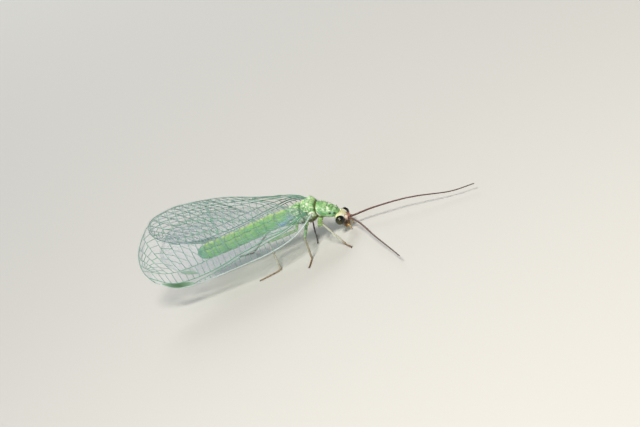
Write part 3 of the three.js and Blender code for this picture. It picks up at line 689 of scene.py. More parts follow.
# Hip socket, hip, knee, ankle and toe; the colours of the thigh, shank and foot; the radius at the
# socket and the share of the usual thickness.
LEGS = {
    "front_right": ([[3.30, -0.36, 1.55], [2.96, -0.50, 1.13], [3.92, -1.60, 1.66], [4.70, -1.95, 0.13],
                     [5.30, -2.55, 0.05]], ["#8cb56a", "#bcbfae", "#8a6a44"], 0.15, 1.0),
    "middle_right": ([[2.42, -0.34, 1.75], [2.22, -0.54, 1.44], [2.60, -1.98, 1.40], [2.30, -2.10, 0.13],
                      [2.42, -3.05, 0.05]], ["#84ad88", "#a09c84", "#8a6a44"], 0.13, 1.0),
    "hind_right": ([[1.64, -0.28, 1.72], [1.46, -0.50, 1.40], [-0.30, -1.02, 1.58], [-0.02, -1.98, 0.13],
                    [-1.40, -2.32, 0.05]], ["#9dbb88", "#b5b3a4", "#8f7a58"], 0.09, 0.95),
    # The left legs, on the far side, have darker colours than the right ones: painted shade, darkest on
    # the middle left leg in dark purple.
    "front_left": ([[3.34, 0.26, 1.50], [3.25, 0.50, 1.05], [2.95, 1.60, 1.20], [3.60, 1.50, 0.13],
                    [3.95, 0.62, 0.05]], ["#86a866", "#8a7452", "#6b4f38"], 0.15, 0.9),
    "middle_left": ([[2.58, 0.30, 1.62], [2.40, 0.52, 1.24], [1.80, 1.48, 1.44], [1.46, 1.04, 0.13],
                     [2.06, -0.28, 0.05]], ["#6f5a58", "#5e4250", "#45303a"], 0.12, 0.72),
    "hind_left": ([[1.80, 0.28, 1.70], [1.62, 0.50, 1.30], [-0.80, 0.96, 1.54], [-3.30, 1.72, 0.13],
                   [-4.50, 1.98, 0.05]], ["#8fb072", "#a3906c", "#7a5f44"], 0.09, 0.95),
}
FOOT_MARKS = np.cumsum([0, 0.38, 0.19, 0.14, 0.11, 0.18])  # where the foot's joints begin and end
LEG_SIDES = 18
LEG_RINGS = 420
HIP_BLEND = 0.12  # length on both sides of the hip over which hip and thigh pass into each other
THIGH_RADIUS, THIGH_SWELL = 0.074, 0.026
SHANK_RADIUS, SHANK_SWELL = 0.052, 0.010
FOOT_RADIUS, FOOT_SWELL = 0.034, 0.018
SOLE_HEIGHT, LOWEST = 0.055, 0.003  # the foot's middle line, and the least height of any skin
# Places from the toe, ahead, to the side and up: one claw, and the pad between the claws.
CLAW = [[0, 0.012, 0], [0.05, 0.035, 0.018], [0.09, 0.050, 0], [0.10, 0.052, -0.035]]
PAD = [[0, 0, 0], [0.045, 0, -0.012], [0.075, 0, -0.026]]
CLAW_RINGS, PAD_RINGS = 16, 12
leg_paths = {}


def bent(places, count, round_off):
    """Points along straight lengths whose corners are rounded: the broken line is read evenly and
    each point is averaged with those within a set distance on both sides."""
    line = lengths_along(np.asarray(places))
    want = np.linspace(0, line[-1], count)
    path = np.stack([np.interp(want, line, np.asarray(places)[:, k]) for k in range(3)], -1)
    reach = max(1, int(round_off / (line[-1] / count)))
    soft = np.zeros(path.shape)
    for shift in range(-reach, reach + 1):
        soft += path[np.clip(np.arange(count) + shift, 0, count - 1)]
    return soft / (2 * reach + 1), want, line


claw_shells = []
for name, (places, (thigh, shank, foot), stout_hip, slender) in LEGS.items():
    socket, hip, knee, ankle, toe = np.array(places)
    sole = ankle + (toe - ankle) * 0.16
    sole[2] = SOLE_HEIGHT
    path, gone, marks = bent([socket, hip, knee, ankle, sole, toe], LEG_RINGS, 0.05)
    at_hip, at_knee, at_ankle, at_toe = marks[1], marks[2], marks[3], marks[5]
    in_thigh = np.clip((gone - at_hip) / (at_knee - at_hip), 0, 1)
    in_shank = np.clip((gone - at_knee) / (at_ankle - at_knee), 0, 1)
    in_foot = np.clip((gone - at_ankle) / (at_toe - at_ankle), 0, 1)
    radius = np.interp(gone, [0, at_hip - HIP_BLEND, at_hip, at_hip + HIP_BLEND],
                       [stout_hip, stout_hip * 0.8 + 0.01, 0.095, 0.085])
    round_thigh = THIGH_RADIUS + THIGH_SWELL * np.sin(np.pi * in_thigh ** 0.8)
    radius = np.where(gone > at_hip + HIP_BLEND, round_thigh, radius)
    round_shank = SHANK_RADIUS + SHANK_SWELL * (np.sin(np.pi * in_shank) + in_shank ** 4)
    radius = np.where(gone > at_knee, round_shank, radius)
    radius = radius + 0.016 * bell(gone - at_knee, 0.07) - 0.020 * bell(gone - at_hip - 0.10, 0.03)
    radius = radius + 0.014 * np.sin(gone * 26) * smoothstep(at_hip + 0.1, at_hip - 0.1, gone)
    joint = np.minimum(np.searchsorted(FOOT_MARKS[1:], in_foot), len(FOOT_MARKS) - 2)
    within = (in_foot - FOOT_MARKS[joint]) / np.diff(FOOT_MARKS)[joint]
    on_foot = in_foot > 0
    radius = np.where(on_foot, FOOT_RADIUS + FOOT_SWELL * within ** 0.8, radius)
    radius = np.convolve(np.pad(radius, 2, mode="edge"), np.ones(5) / 5, mode="valid")
    radius = slender * radius * np.sqrt(np.clip((gone[-1] - gone) / 0.04, 0.02, 1))
    rings = sweep(path, radius, np.cross(knee - hip, ankle - knee), sides=LEG_SIDES)
    rings[..., 2] = np.maximum(rings[..., 2], LOWEST)
    colours = painted((LEG_RINGS, 3), "#9cc27a", [
        [thigh, smoothstep(at_hip - 0.1, at_hip + 0.1, gone)],
        [shank, smoothstep(at_knee - 0.02, at_knee + 0.12, gone)],
        [foot, smoothstep(0.75, 1.1, in_shank + 3 * in_foot)],
        ["#6a5a35", 0.60 * bell(gone - at_knee, 0.05)],
        ["#4f6b2c", 0.70 * bell(gone - at_hip - 0.10, 0.035)],
        ["#5f7f3a", 0.60 * bell(gone - at_hip * 0.45, 0.05)],
        # pale spots along the thigh: painted highlights
        ["#dfe9c8", 0.50 * bell(in_thigh - 0.92, 0.05) + 0.35 * bell(in_thigh - 0.5, 0.06)],
        ["#3a2a1c", 0.65 * on_foot * bell(within - 1, 0.25)],
    ])
    add_piece(f"leg_{name}", shell(rings), LEG_CUTICLE,
              [f"thigh_{name}", f"shank_{name}", f"foot_{name}"], round_each(colours, LEG_SIDES))
    leg_paths[name] = (path, radius)
    ahead = unit(toe - sole)
    side = unit(np.cross([0, 0, 1], ahead))
    for hand in (1, -1):
        claw = [toe + ahead * a + side * hand * b + [0, 0, c] for a, b, c in CLAW]
        claw_shells.append(shell(sweep(evenly(claw, CLAW_RINGS),
                                       np.linspace(0.017, 0.003, CLAW_RINGS), side, sides=8)))
    pad = [toe + ahead * a + [0, 0, c] for a, _, c in PAD]
    thick = 0.024 * np.sqrt(np.clip(np.linspace(1.02, 0.02, PAD_RINGS) / 0.4, 0, 1))
    claw_shells.append(shell(sweep(evenly(pad, PAD_RINGS), thick, side, sides=10, flatten=0.6)))
claws = joined(claw_shells)
claws[0][:, 2] = np.maximum(claws[0][:, 2], 0.002)
add_piece("claws_and_pads", claws, CLAW_HORN,
          tint=painted(claws[0].shape, "#4a3320", []))

# Wings
# Four clear wings, held over the back like a steep roof. Each is a film a few thousandths of a
# millimetre thick on a net of hollow veins that stand out on both sides; the front edge is a thicker
# rib with a green blotch before the tip. The hind pair lies under the front pair.

EAVES_LEVEL = 2.3
ROOF_HALF_WIDTH = 2.10
ROOF_INTAKE = 0.85
ROOF_INTAKE_LENGTH = 0.7
ROOF_ROOT = 3.0
ROOF_SLOPE = 0.48
ROOF_CLOSING = 0.307
CLOSING_LENGTH = 1.2
RIDGE_CLOSING = 0.055


def roof(x, z):
    """Half width of the roof of wings: it falls in a straight line with height, then further with
    the height's square, which closes the wings over the back, more and more towards the front as
    an exponential, and it draws in to the roots as another exponential."""
    height = z - EAVES_LEVEL
    intake = ROOF_INTAKE * np.exp((x - ROOF_ROOT) / ROOF_INTAKE_LENGTH)
    closing = RIDGE_CLOSING + ROOF_CLOSING * np.exp(x / CLOSING_LENGTH)
    return ROOF_HALF_WIDTH - intake - ROOF_SLOPE * height - closing * np.maximum(height, 0) ** 2


# Front and back edges are [x, z] in side view, from the root; the tip's edge joins their ends in
# a curve that bows out by "tip". "inset" is the distance under the roof, "hinge" the root's front
# and back ends on the thorax. The long veins are [share of the length, share of the way from front
# to back], "anal" is a list of such veins. Steps are shares of the length between cross-veins,
# "rows" the levels of more stepped veins, "blotch" its start and end along the wing, "stoutness"
# a factor on every vein's radius and "paleness" how far the veins go towards the palest colour.
FOREWING = {
    "front": [[2.80, 2.10], [2.37, 1.84], [2.00, 1.70], [1.22, 1.58], [-0.46, 1.50], [-2.83, 1.44],
              [-4.96, 1.43], [-6.64, 1.63], [-7.88, 2.31]],
    "back": [[2.76, 2.46], [2.45, 2.70], [1.95, 2.97], [0.82, 3.59], [-0.43, 4.24], [-1.58, 4.71],
             [-2.74, 5.05], [-4.15, 5.37], [-5.33, 5.48], [-6.66, 5.30], [-7.38, 5.03]],
    "inset": 0.0, "tip": 0.85,
    "hinge": [[3.05, 0.52, 2.06], [2.50, 0.44, 2.50]],
    "subcosta": [[0.0, 0.40], [0.033, 0.41], [0.143, 0.335], [0.232, 0.270], [0.330, 0.185],
                 [0.425, 0.140], [0.523, 0.090], [0.618, 0.060], [0.700, 0.040], [0.765, 0.006]],
    "radius": [[0.0, 0.50], [0.033, 0.52], [0.143, 0.405], [0.232, 0.345], [0.330, 0.248],
               [0.425, 0.190], [0.523, 0.130], [0.618, 0.100], [0.75, 0.078], [0.86, 0.074],
               [0.95, 0.095], [1.0, 0.14]],
    "sector": [[0.11, 0.44], [0.20, 0.44], [0.33, 0.39], [0.45, 0.34], [0.56, 0.29], [0.67, 0.25],
               [0.78, 0.23], [0.89, 0.24], [0.96, 0.27], [1.0, 0.31]],
    "inner": [[0.0, 0.60], [0.07, 0.55], [0.17, 0.54], [0.33, 0.565], [0.48, 0.600], [0.565, 0.618],
              [0.64, 0.640], [0.74, 0.625], [0.85, 0.585], [1.0, 0.53]],
    "outer": [[0.0, 0.70], [0.11, 0.66], [0.248, 0.690], [0.32, 0.715], [0.444, 0.720],
              [0.51, 0.760], [0.62, 0.790], [0.72, 0.805], [0.83, 0.795], [1.0, 0.72]],
    "anal": [[[0.0, 0.80], [0.09, 0.80], [0.17, 0.85], [0.23, 0.93], [0.26, 1.0]],
             [[0.0, 0.90], [0.055, 0.89], [0.10, 0.94], [0.13, 1.0]]],
    "costal_step": 0.035, "costal_end": 0.75, "ladder_step": 0.036, "branch_step": 0.060,
    "margin_step": 0.0425, "rows": [0.36, 0.68, 1.5, 2.45], "stoutness": 1.2, "paleness": 0.0,
    "blotch": [0.745, 0.955], "blotch_colour": "#456a44",
}
HINDWING = {
    "front": [[1.60, 2.62], [1.00, 2.50], [0.20, 2.32], [-0.90, 2.08], [-2.60, 1.86], [-4.60, 1.86],
              [-6.00, 2.14], [-6.80, 2.68]],
    "back": [[1.56, 3.02], [1.00, 3.36], [0.20, 3.72], [-1.20, 4.24], [-3.20, 4.70], [-4.90, 4.80],
             [-6.00, 4.62], [-6.60, 4.36]],
    "inset": 0.60, "tip": 0.62,
    "hinge": [[2.08, 0.47, 2.14], [1.66, 0.40, 2.58]],
    "subcosta": [[0.0, 0.34], [0.11, 0.24], [0.28, 0.14], [0.45, 0.09], [0.62, 0.05], [0.76, 0.006]],
    "radius": [[0.0, 0.44], [0.11, 0.31], [0.28, 0.20], [0.45, 0.14], [0.62, 0.10], [0.78, 0.08],
               [0.92, 0.09], [1.0, 0.14]],
    "sector": [[0.09, 0.36], [0.20, 0.36], [0.40, 0.34], [0.62, 0.31], [0.82, 0.29], [1.0, 0.38]],
    "inner": [[0.0, 0.58], [0.11, 0.52], [0.34, 0.56], [0.56, 0.61], [0.78, 0.60], [1.0, 0.54]],
    "outer": [[0.0, 0.72], [0.13, 0.70], [0.34, 0.75], [0.56, 0.79], [0.78, 0.80], [1.0, 0.72]],
    "anal": [[[0.0, 0.84], [0.07, 0.84], [0.13, 0.92], [0.17, 1.0]]],
    "costal_step": 0.050, "costal_end": 0.74, "ladder_step": 0.066, "branch_step": 0.096,
    "margin_step": 0.075, "rows": [0.5, 1.5], "stoutness": 0.36, "paleness": 0.72,
    "blotch": [0.79, 0.93], "blotch_colour": "#9db79c",
}
HINGE_REACH = [0.30, 0.20]  # shares of the length in which the front and back edges bend to it
SLOPE_STEP = 0.01  # millimetres to both sides, over which the roof's slope is measured


def edge_at(points, along):
    """A place [x, z] on an outline, by share of its length: a Catmull-Rom curve read by length."""
    dense = through(points, np.linspace(0, len(points) - 1, 700))
    line = lengths_along(dense)
    at = np.clip(along, 0, 1) * line[-1]
    return np.stack([np.interp(at, line, dense[:, k]) for k in range(2)], -1)


def on_wing(shape, along, share, lift=0.0):
    """Points of a left wing: the place between its two edges in side view, plus a bow
    4s(1 - s) times the length's fourth power towards the tip, set on the roof less the wing's inset
    along the roof's normal; near the root it bends in to the hinge with the square of nearness."""
    along, share = np.broadcast_arrays(np.asarray(along, float), np.asarray(share, float))

    def in_side_view(along):
        """Places on the roof at these shares of the length, and the roof's normals there."""
        front, back = edge_at(shape["front"], along), edge_at(shape["back"], along)
        x, z = np.moveaxis(front + (back - front) * share[..., None], -1, 0)
        x = x - shape["tip"] * np.clip(along, 0, 1) ** 4 * 4 * share * (1 - share)
        slope_x = (roof(x + SLOPE_STEP, z) - roof(x - SLOPE_STEP, z)) / (2 * SLOPE_STEP)
        slope_z = (roof(x, z + SLOPE_STEP) - roof(x, z - SLOPE_STEP)) / (2 * SLOPE_STEP)
        normal = unit(np.stack([-slope_x, np.ones(x.shape), -slope_z], -1))
        return np.stack([x, roof(x, z), z], -1) - normal * shape["inset"], normal

    place, normal = in_side_view(along)
    root, _ = in_side_view(0 * along)
    hinge = np.array(shape["hinge"][0]) + np.subtract(*shape["hinge"][::-1]) * share[..., None]
    reach = HINGE_REACH[0] + (HINGE_REACH[1] - HINGE_REACH[0]) * share
    pull = np.clip(1 - along / reach, 0, 1)[..., None] ** 2
    return place + (hinge - root) * pull + normal * np.asarray(lift)[..., None]


def read(curve, along):
    """Height of a curve across the wing at shares of the wing's length."""
    dense = through(curve, np.linspace(0, len(curve) - 1, 300))
    return np.interp(along, dense[:, 0], dense[:, 1])


FILM_THICKNESS = 0.008
FILM_LONG = 170
FILM_WIDE = 50

# The film is clear horn, as thin as a soap film's skin: to the eye almost nothing but a faint
# blue-grey haze and wide, soft, faintly coloured reflections, broken by its slight cockle.
WING_FILM, tree, shader = new_material("clear wing film")
where = add_node(tree, "ShaderNodeTexCoord").outputs["Object"]
cockle = add_node(tree, "ShaderNodeTexNoise", inputs={
    "Vector": where, "Scale": 1 / (0.9 * MM), "Detail": 2.0})
haze = add_node(tree, "ShaderNodeMix", {"data_type": "RGBA"}, {
    "Factor": cockle.outputs["Fac"], 6: (*linear("#9dbcc6"), 1), 7: (*linear("#b9cbd2"), 1)})
bump = add_node(tree, "ShaderNodeBump", inputs={
    "Height": cockle.outputs["Fac"], "Distance": 0.10 * MM, "Strength": 0.5})
tree.links.new(haze.outputs[2], shader.inputs["Base Color"])
tree.links.new(bump.outputs["Normal"], shader.inputs["Normal"])
set_inputs(shader, {"Alpha": 0.075, "Roughness": 0.26, "Specular IOR Level": 1.0, "IOR": 1.56,
                    "Thin Film Thickness": 310.0, "Thin Film IOR": 1.4})

VEIN = waxy_cuticle("silvery green vein", 0.6, 0.05, 0.30, 0.0)
BLOTCH = waxy_cuticle("green wing blotch", 0.25, 0.06, 0.4, 0.2)
ROOT_CROWD = 0.16  # cross-veins begin beyond this share, where the wing is wide enough for them
TIP_RATIO = 3.4  # the wing's length over the length of its tip's edge
STEP = 0.13  # how far the ends of a stepped vein's stairs are set apart
# Shares of the wing's length: where branches begin, stand closer and end, how far they slant at
# the two stepped veins and at the rim, and further at the tip; from where they fork and how wide.
BRANCHES, CLOSER = [0.19, 0.50, 0.95], 0.62
SLANT, TIP_SLANT = [0.036, 0.060, 0.088], 0.14
FORKS_FROM, FORK_LEVEL, FORK_HALF = 0.43, 2.45, 0.011
FAN = np.array([[0], [0.42], [0.70], [1]])  # towards the tip the branches spread in straight lines
ROWS_FROM = 0.46
MARGIN_LADDER = [0.26, 0.52]
ROOT_CROSSINGS, ANAL_CROSSINGS = [0.09, 0.135], [0.10, 0.15, 0.20]


def rim(at):
    """The place at a distance along the back edge and on round the tip's edge, in shares of the
    wing's length."""
    return [at, 1.0] if at <= 1 else [1.0, 1 - (at - 1) * TIP_RATIO]


def net_of(shape):
    """The net of veins as lines of [share of length, share of width], each with its radius at both
    ends and a kind. Long veins are the shape's own curves. Branches run from the third long vein
    back to the edge, and stepped veins cross them in stairs; ladders of short veins fill the rest."""
    lines = []
    stout = shape["stoutness"]

    def vein(points, thick, thin, kind):
        """Adds a line, with its radius at the start and at the end."""
        lines.append((np.array(points, float), thick * stout, thin * stout, kind))

    def long_vein(curve, start, end, thick, thin, count=60):
        """Adds a part of one of the wing's own long curves."""
        at = np.linspace(start, end, count)
        vein(np.stack([at, read(curve, at)], -1), thick, thin, "main")

    subcosta, radius, sector = shape["subcosta"], shape["radius"], shape["sector"]
    inner, outer = shape["inner"], shape["outer"]
    vein([[at, 0.0] for at in np.linspace(0, 1, 60)], 0.042, 0.024, "rib")
    vein([[1.0, share] for share in np.linspace(0, 1, 30)], 0.022, 0.018, "cross")
    vein([[at, 1.0] for at in np.linspace(0, 1, 60)], 0.020, 0.018, "cross")
    long_vein(subcosta, 0, subcosta[-1][0], 0.026, 0.015)
    long_vein(radius, 0, 1, 0.034, 0.020)
    long_vein(sector, sector[0][0], 1, 0.020, 0.015)
    for curve in shape["anal"]:
        long_vein(curve, 0, curve[-1][0], 0.015, 0.013, count=16)
    for at in np.arange(0.045, shape["costal_end"], shape["costal_step"]):
        top = at + 0.005
        vein([[at, 0.0], [at + 0.001, read(subcosta, top) * 0.5], [top, read(subcosta, top)]],
             0.0165, 0.0175, "cross")
    for at in np.arange(ROOT_CROWD, 0.985, shape["ladder_step"]):
        vein([[at, read(radius, at)], [at + 0.007, read(sector, at + 0.007)]], 0.0145, 0.0135, "cross")
    branches = []
    step = shape["branch_step"]
    for at in np.concatenate([np.arange(BRANCHES[0], BRANCHES[1], step),
                              np.arange(BRANCHES[1], BRANCHES[2], step * CLOSER)]):
        start = [at, read(sector, at)]
        end = rim(at + SLANT[2] + TIP_SLANT * smoothstep(0.60, 0.95, at))
        near, far = at + SLANT[0], at + SLANT[1]
        crossing = np.array([start, [near, read(inner, near)], [far, read(outer, far)], end])
        fan = np.array(start) + (np.array(end) - start) * FAN
        branches.append(crossing + (fan - crossing) * smoothstep(0.62, 0.86, at))
    for branch in branches:
        forked = branch[0][0] > FORKS_FROM
        stem = through(branch, np.linspace(0, FORK_LEVEL if forked else 2, 10))
        vein(stem, 0.0160, 0.0145, "cross")
        if forked:
            last = branch[3][0] if branch[3][1] == 1 else 1 + (1 - branch[3][1]) / TIP_RATIO
            for spread in (-FORK_HALF, FORK_HALF):
                end = np.array(rim(last + spread))
                vein([stem[-1], (stem[-1] + end) / 2 + [0.003, 0.01], end], 0.0140, 0.0120, "cross")
    for level, curve in ((1, inner), (2, outer)):
        long_vein(curve, 0, branches[0][level][0], 0.019, 0.0175, count=20)
        for branch, after in zip(branches[:-1], branches[1:]):
            ends = [through(branch, [level - STEP])[0], through(after, [level + STEP])[0]]
            vein(ends, 0.0175, 0.0165, "main")
            vein(through(branch, [level - STEP, level, level + STEP]), 0.0175, 0.0165, "main")
    for level in shape["rows"]:
        for branch, after in zip(branches[:-1], branches[1:]):
            if branch[0][0] > ROWS_FROM:
                ends = [through(branch, [level - STEP])[0], through(after, [level + STEP])[0]]
                vein(ends, 0.0140, 0.0130, "cross")
    for at in np.arange(*MARGIN_LADDER, shape["margin_step"]):
        low = read(outer, at)
        vein([[at, low], [at + 0.010, (1 + low) / 2], [at + 0.026, 1.0]], 0.0155, 0.0135, "cross")
    for at in ROOT_CROSSINGS:
        vein([[at, read(radius, at)], [at + 0.012, read(inner, at + 0.012)]], 0.015, 0.014, "cross")
        vein([[at, read(inner, at)], [at + 0.010, read(outer, at + 0.010)]], 0.015, 0.014, "cross")
    for at in ANAL_CROSSINGS:
        vein([[at, read(outer, at)], [at + 0.016, read(shape["anal"][0], at + 0.016)]], 0.015, 0.013,
             "cross")
    return lines


VEIN_COLOURS = {"rib": "#b6c6c3", "main": "#6ea489", "cross": "#7aa298"}
PALEST_VEIN = "#c3d2cd"
VEIN_SPACING = 0.10  # millimetres between the rings of a vein's tube
BLOTCH_SWELL, BLOTCH_THINNEST = 0.018, 0.005  # half thickness added in its middle, and at its edge
BLOTCH_LONG, BLOTCH_WIDE = 60, 14
hair_beds = []  # left-hand lines that carry hairs: [points, away direction, wing, places]

for label, shape, node in (("fore", FOREWING, "forewing"), ("hind", HINDWING, "hindwing")):
    share = np.linspace(0, 1, FILM_WIDE)
    there = np.linspace(0, 1, FILM_LONG)[:, None]
    outer_face = on_wing(shape, there, share[None, :], FILM_THICKNESS / 2)
    inner_face = on_wing(shape, there, share[None, ::-1], -FILM_THICKNESS / 2)
    film_rings = np.concatenate([outer_face, inner_face], axis=1)
    vein_shells, vein_tints = [], []
    for places, thick, thin, kind in net_of(shape):
        rough = on_wing(shape, places[:, 0], places[:, 1])
        count = max(4, int(lengths_along(rough)[-1] / VEIN_SPACING))
        at = through(places, np.linspace(0, len(places) - 1, count))
        path = on_wing(shape, at[:, 0], at[:, 1])
        above = unit(on_wing(shape, at[:, 0], at[:, 1], 0.1) - path)
        vein_shells.append(shell(sweep(path, np.linspace(thick, thin, count), above, sides=6)))
        colour = mixed(linear(VEIN_COLOURS[kind]), PALEST_VEIN, np.array(shape["paleness"]))
        vein_tints.append(np.tile(colour, (len(vein_shells[-1][0]), 1)))
        hair_beds.append([path, above, label, at])
    low, high = shape["blotch"]
    there = np.linspace(low, high, BLOTCH_LONG)[:, None]
    share = np.linspace(0, 1, BLOTCH_WIDE)[None, :]
    ends = np.sin(np.pi * (there - low) / (high - low)) ** 0.5
    depth = read(shape["radius"], there) * (0.15 + 0.85 * ends)
    swell = BLOTCH_SWELL * (np.sin(np.pi * share) ** 0.5 * ends) + BLOTCH_THINNEST
    outer_face = on_wing(shape, there, depth * share, swell)
    inner_face = on_wing(shape, there, depth * share[:, ::-1], -swell[:, ::-1])
    blotch_rings = np.concatenate([outer_face, inner_face], axis=1)
    blotch = painted(blotch_rings.shape, shape["blotch_colour"], [["#9dbba6", (1 - ends) ** 0.7]])
    for side, name in ((1, "left"), (-1, "right")):
        flip = np.array([1, side, 1])
        add_piece(f"{label}wing_film_{name}", shell(film_rings * flip), WING_FILM,
                  [f"{node}_{name}"])
        shells = [(part * flip, [face[:, ::-1] for face in faces] if side < 0 else faces)
                  for part, faces in vein_shells]
        add_piece(f"{label}wing_veins_{name}", joined(shells), VEIN,
                  tint=np.concatenate(vein_tints))
        add_piece(f"{label}wing_blotch_{name}", shell(blotch_rings * flip), BLOTCH,
                  tint=with_ends(blotch))

# Hairs
# Short, stiff, slightly bent bristles of clear to brown horn, each in its own socket: a fringe on
# the wings' edges, rows on the veins, and a thin coat on the body, legs and feelers.

HAIR_RADIUS = 0.0055  # real ones have 0.002 to 0.003 mm; drawn thicker so that they show
HAIR_SIDES = 3
TUFT_PATCH = 0.003  # width of a hair's place on the unwrap
RIM_HAIR_STEP, VEIN_HAIR_STEP = 0.075, {"fore": 0.16, "hind": 0.3}
RIM_HAIR_LENGTHS = [0.09, 0.17]  # on the front edge, and on the rest of the rim
VEIN_HAIR_LENGTHS = [0.06, 0.11]
BODY_HAIRS = 1500
FLOOR_CLEARANCE = 0.03  # no hair has its root lower than this
draw = np.random.default_rng(11)


def bristles(roots, stand, lean, length):
    """Thin bent cones, one for each root: a ring of three at the root, another at 0.55 of the length
    along 'stand', and a tip that bends on towards 'lean' by a third of the length."""
    stand = unit(stand)
    first = unit(np.cross(stand, stand[:, [1, 2, 0]] + 0.1))
    second = np.cross(stand, first)
    turn = np.arange(HAIR_SIDES) * 2 * np.pi / HAIR_SIDES
    circle = (np.cos(turn)[None, :, None] * first[:, None, :]
              + np.sin(turn)[None, :, None] * second[:, None, :])
    length = np.asarray(length)[:, None]
    middle = roots + stand * length * 0.55 + lean * length * 0.05
    tips = roots + stand * length * 0.92 + lean * length * 0.33
    base = roots[:, None, :] + circle * HAIR_RADIUS
    waist = middle[:, None, :] + circle * HAIR_RADIUS * 0.6
    points = np.concatenate([base, waist, tips[:, None, :]], axis=1)
    start = (np.arange(len(roots)) * (2 * HAIR_SIDES + 1))[:, None]
    quads = np.concatenate([start + [k, (k + 1) % 3, (k + 1) % 3 + 3, k + 3] for k in range(3)])
    caps = np.concatenate([start + [k + 3, (k + 1) % 3 + 3, 6] for k in range(3)] + [start + [2, 1, 0]])
    return points.reshape(-1, 3), [quads, caps]


def add_hairs(name, beds, material):
    """One mesh of bristles from beds of [roots, stand, lean, length, place on the unwrap, colour],
    with the map 'OFBake', in which each hair is a small square at its root's place."""
    shells, tints, patches = [], [], []
    corner = np.array([[0, 0], [1, 0], [0.5, 1], [0, 0.5], [1, 0.5], [0.5, 1], [0.5, 0.8]]) - 0.5
    for roots, stand, lean, length, place, colour in beds:
        shells.append(bristles(roots, stand, lean, length))
        tints.append(np.tile(linear(colour), (len(shells[-1][0]), 1)))
        patches.append((place[:, None, :] + corner * TUFT_PATCH).reshape(-1, 2))
    piece = add_piece(name, joined(shells), material, tint=np.concatenate(tints))
    loops = np.empty(len(piece.data.loops), np.int32)
    piece.data.loops.foreach_get("vertex_index", loops)
    layer = piece.data.uv_layers.new(name="OFBake")
    layer.data.foreach_set("uv", np.concatenate(patches)[loops].ravel())


def scatter(path, step):
    """Places along a path about one step apart, jittered, as fractional indexes into it."""
    line = lengths_along(path)
    count = int(line[-1] / step)
    want = (np.arange(count) + draw.uniform(0.1, 0.9, count)) * step
    return np.interp(np.minimum(want, line[-1]), line, np.arange(len(path)))


BRISTLE = waxy_cuticle("bristle of clear horn", 0.5, 0.05, 0.35, 0.0)
WING_SHEETS = {"fore": [0.02, 0.02], "hind": [0.02, 0.52]}  # corner of each wing on the unwrap
SHEET_SIZE = [0.94, 0.44]

for side, name in ((1, "left"), (-1, "right")):
    flip = np.array([1, side, 1])
    beds = []
    for label, shape in (("fore", FOREWING), ("hind", HINDWING)):
        rim_places = np.array([[0, 0]] + [[at, 0] for at in np.linspace(0.01, 1, 90)]
                              + [[1, at] for at in np.linspace(0.02, 1, 40)]
                              + [[at, 1] for at in np.linspace(0.99, 0.02, 90)])
        path = on_wing(shape, rim_places[:, 0], rim_places[:, 1])
        middle = on_wing(shape, rim_places[:, 0] * 0.9 + 0.04, 0.5 + 0 * rim_places[:, 0])
        at = scatter(path, RIM_HAIR_STEP)
        roots, places = through(path, at), through(rim_places, at)
        outward = unit(roots - through(middle, at))
        ahead = unit(through(np.gradient(path, axis=0), at))
        outward = unit(outward - ahead * (outward * ahead).sum(axis=1, keepdims=True))
        lean = ahead * np.where(places[:, 1:] > 0.5, -1, 1) * 0.8 + draw.normal(0, 0.25, roots.shape)
        length = np.where(places[:, 1] < 0.02, *RIM_HAIR_LENGTHS) * draw.uniform(0.7, 1.2, len(roots))
        corner = np.array(WING_SHEETS[label])
        beds.append([roots * flip, outward * flip, lean * flip, length,
                     corner + places * SHEET_SIZE, "#9aa79c"])
        for path, above, wing, places in hair_beds:
            if wing != label or len(path) < 6:
                continue
            at = scatter(path, VEIN_HAIR_STEP[label])
            if not len(at):
                continue
            roots, stand = through(path, at), through(above, at)
            away = np.where(draw.uniform(size=(len(at), 1)) < 0.7, 1, -1)
            ahead = unit(through(np.gradient(path, axis=0), at))
            beds.append([roots * flip, (stand * away + ahead * 0.5) * flip, ahead * flip,
                         draw.uniform(*VEIN_HAIR_LENGTHS, len(at)),
                         corner + through(places, at) * SHEET_SIZE, "#7f9488"])
    add_hairs(f"wing_hairs_{name}", beds, BRISTLE)

beds = []
ring_count, around_count = trunk_rings.shape[:2]
ring = draw.integers(4, ring_count - 4, BODY_HAIRS)
spot = draw.integers(0, around_count, BODY_HAIRS)
angle = np.degrees(spot / around_count * 2 * np.pi)
angle = np.minimum(angle, 360 - angle)
keep = draw.uniform(size=BODY_HAIRS) < np.where(angle < 100, 1, 0.35)
ring, spot, angle = ring[keep], spot[keep], angle[keep]
roots = trunk_rings[ring, spot]
stand = trunk_outward[ring, spot] + [-0.45, 0, 0]
lean = np.tile([-1.0, 0, -0.2], (len(roots), 1)) + draw.normal(0, 0.3, roots.shape)
place = np.stack([0.02 + 0.45 * ring / ring_count, 0.02 + 0.45 * spot / around_count], -1)
dark = (roots[:, 0] > 3.3) & (angle < 60)
for chosen, colour, longest in ((dark, "#3a3324", 0.16), (~dark, "#c9d3a0", 0.12)):
    count = int(chosen.sum())
    beds.append([roots[chosen], stand[chosen], lean[chosen], draw.uniform(0.5, 1, count) * longest,
                 place[chosen], colour])
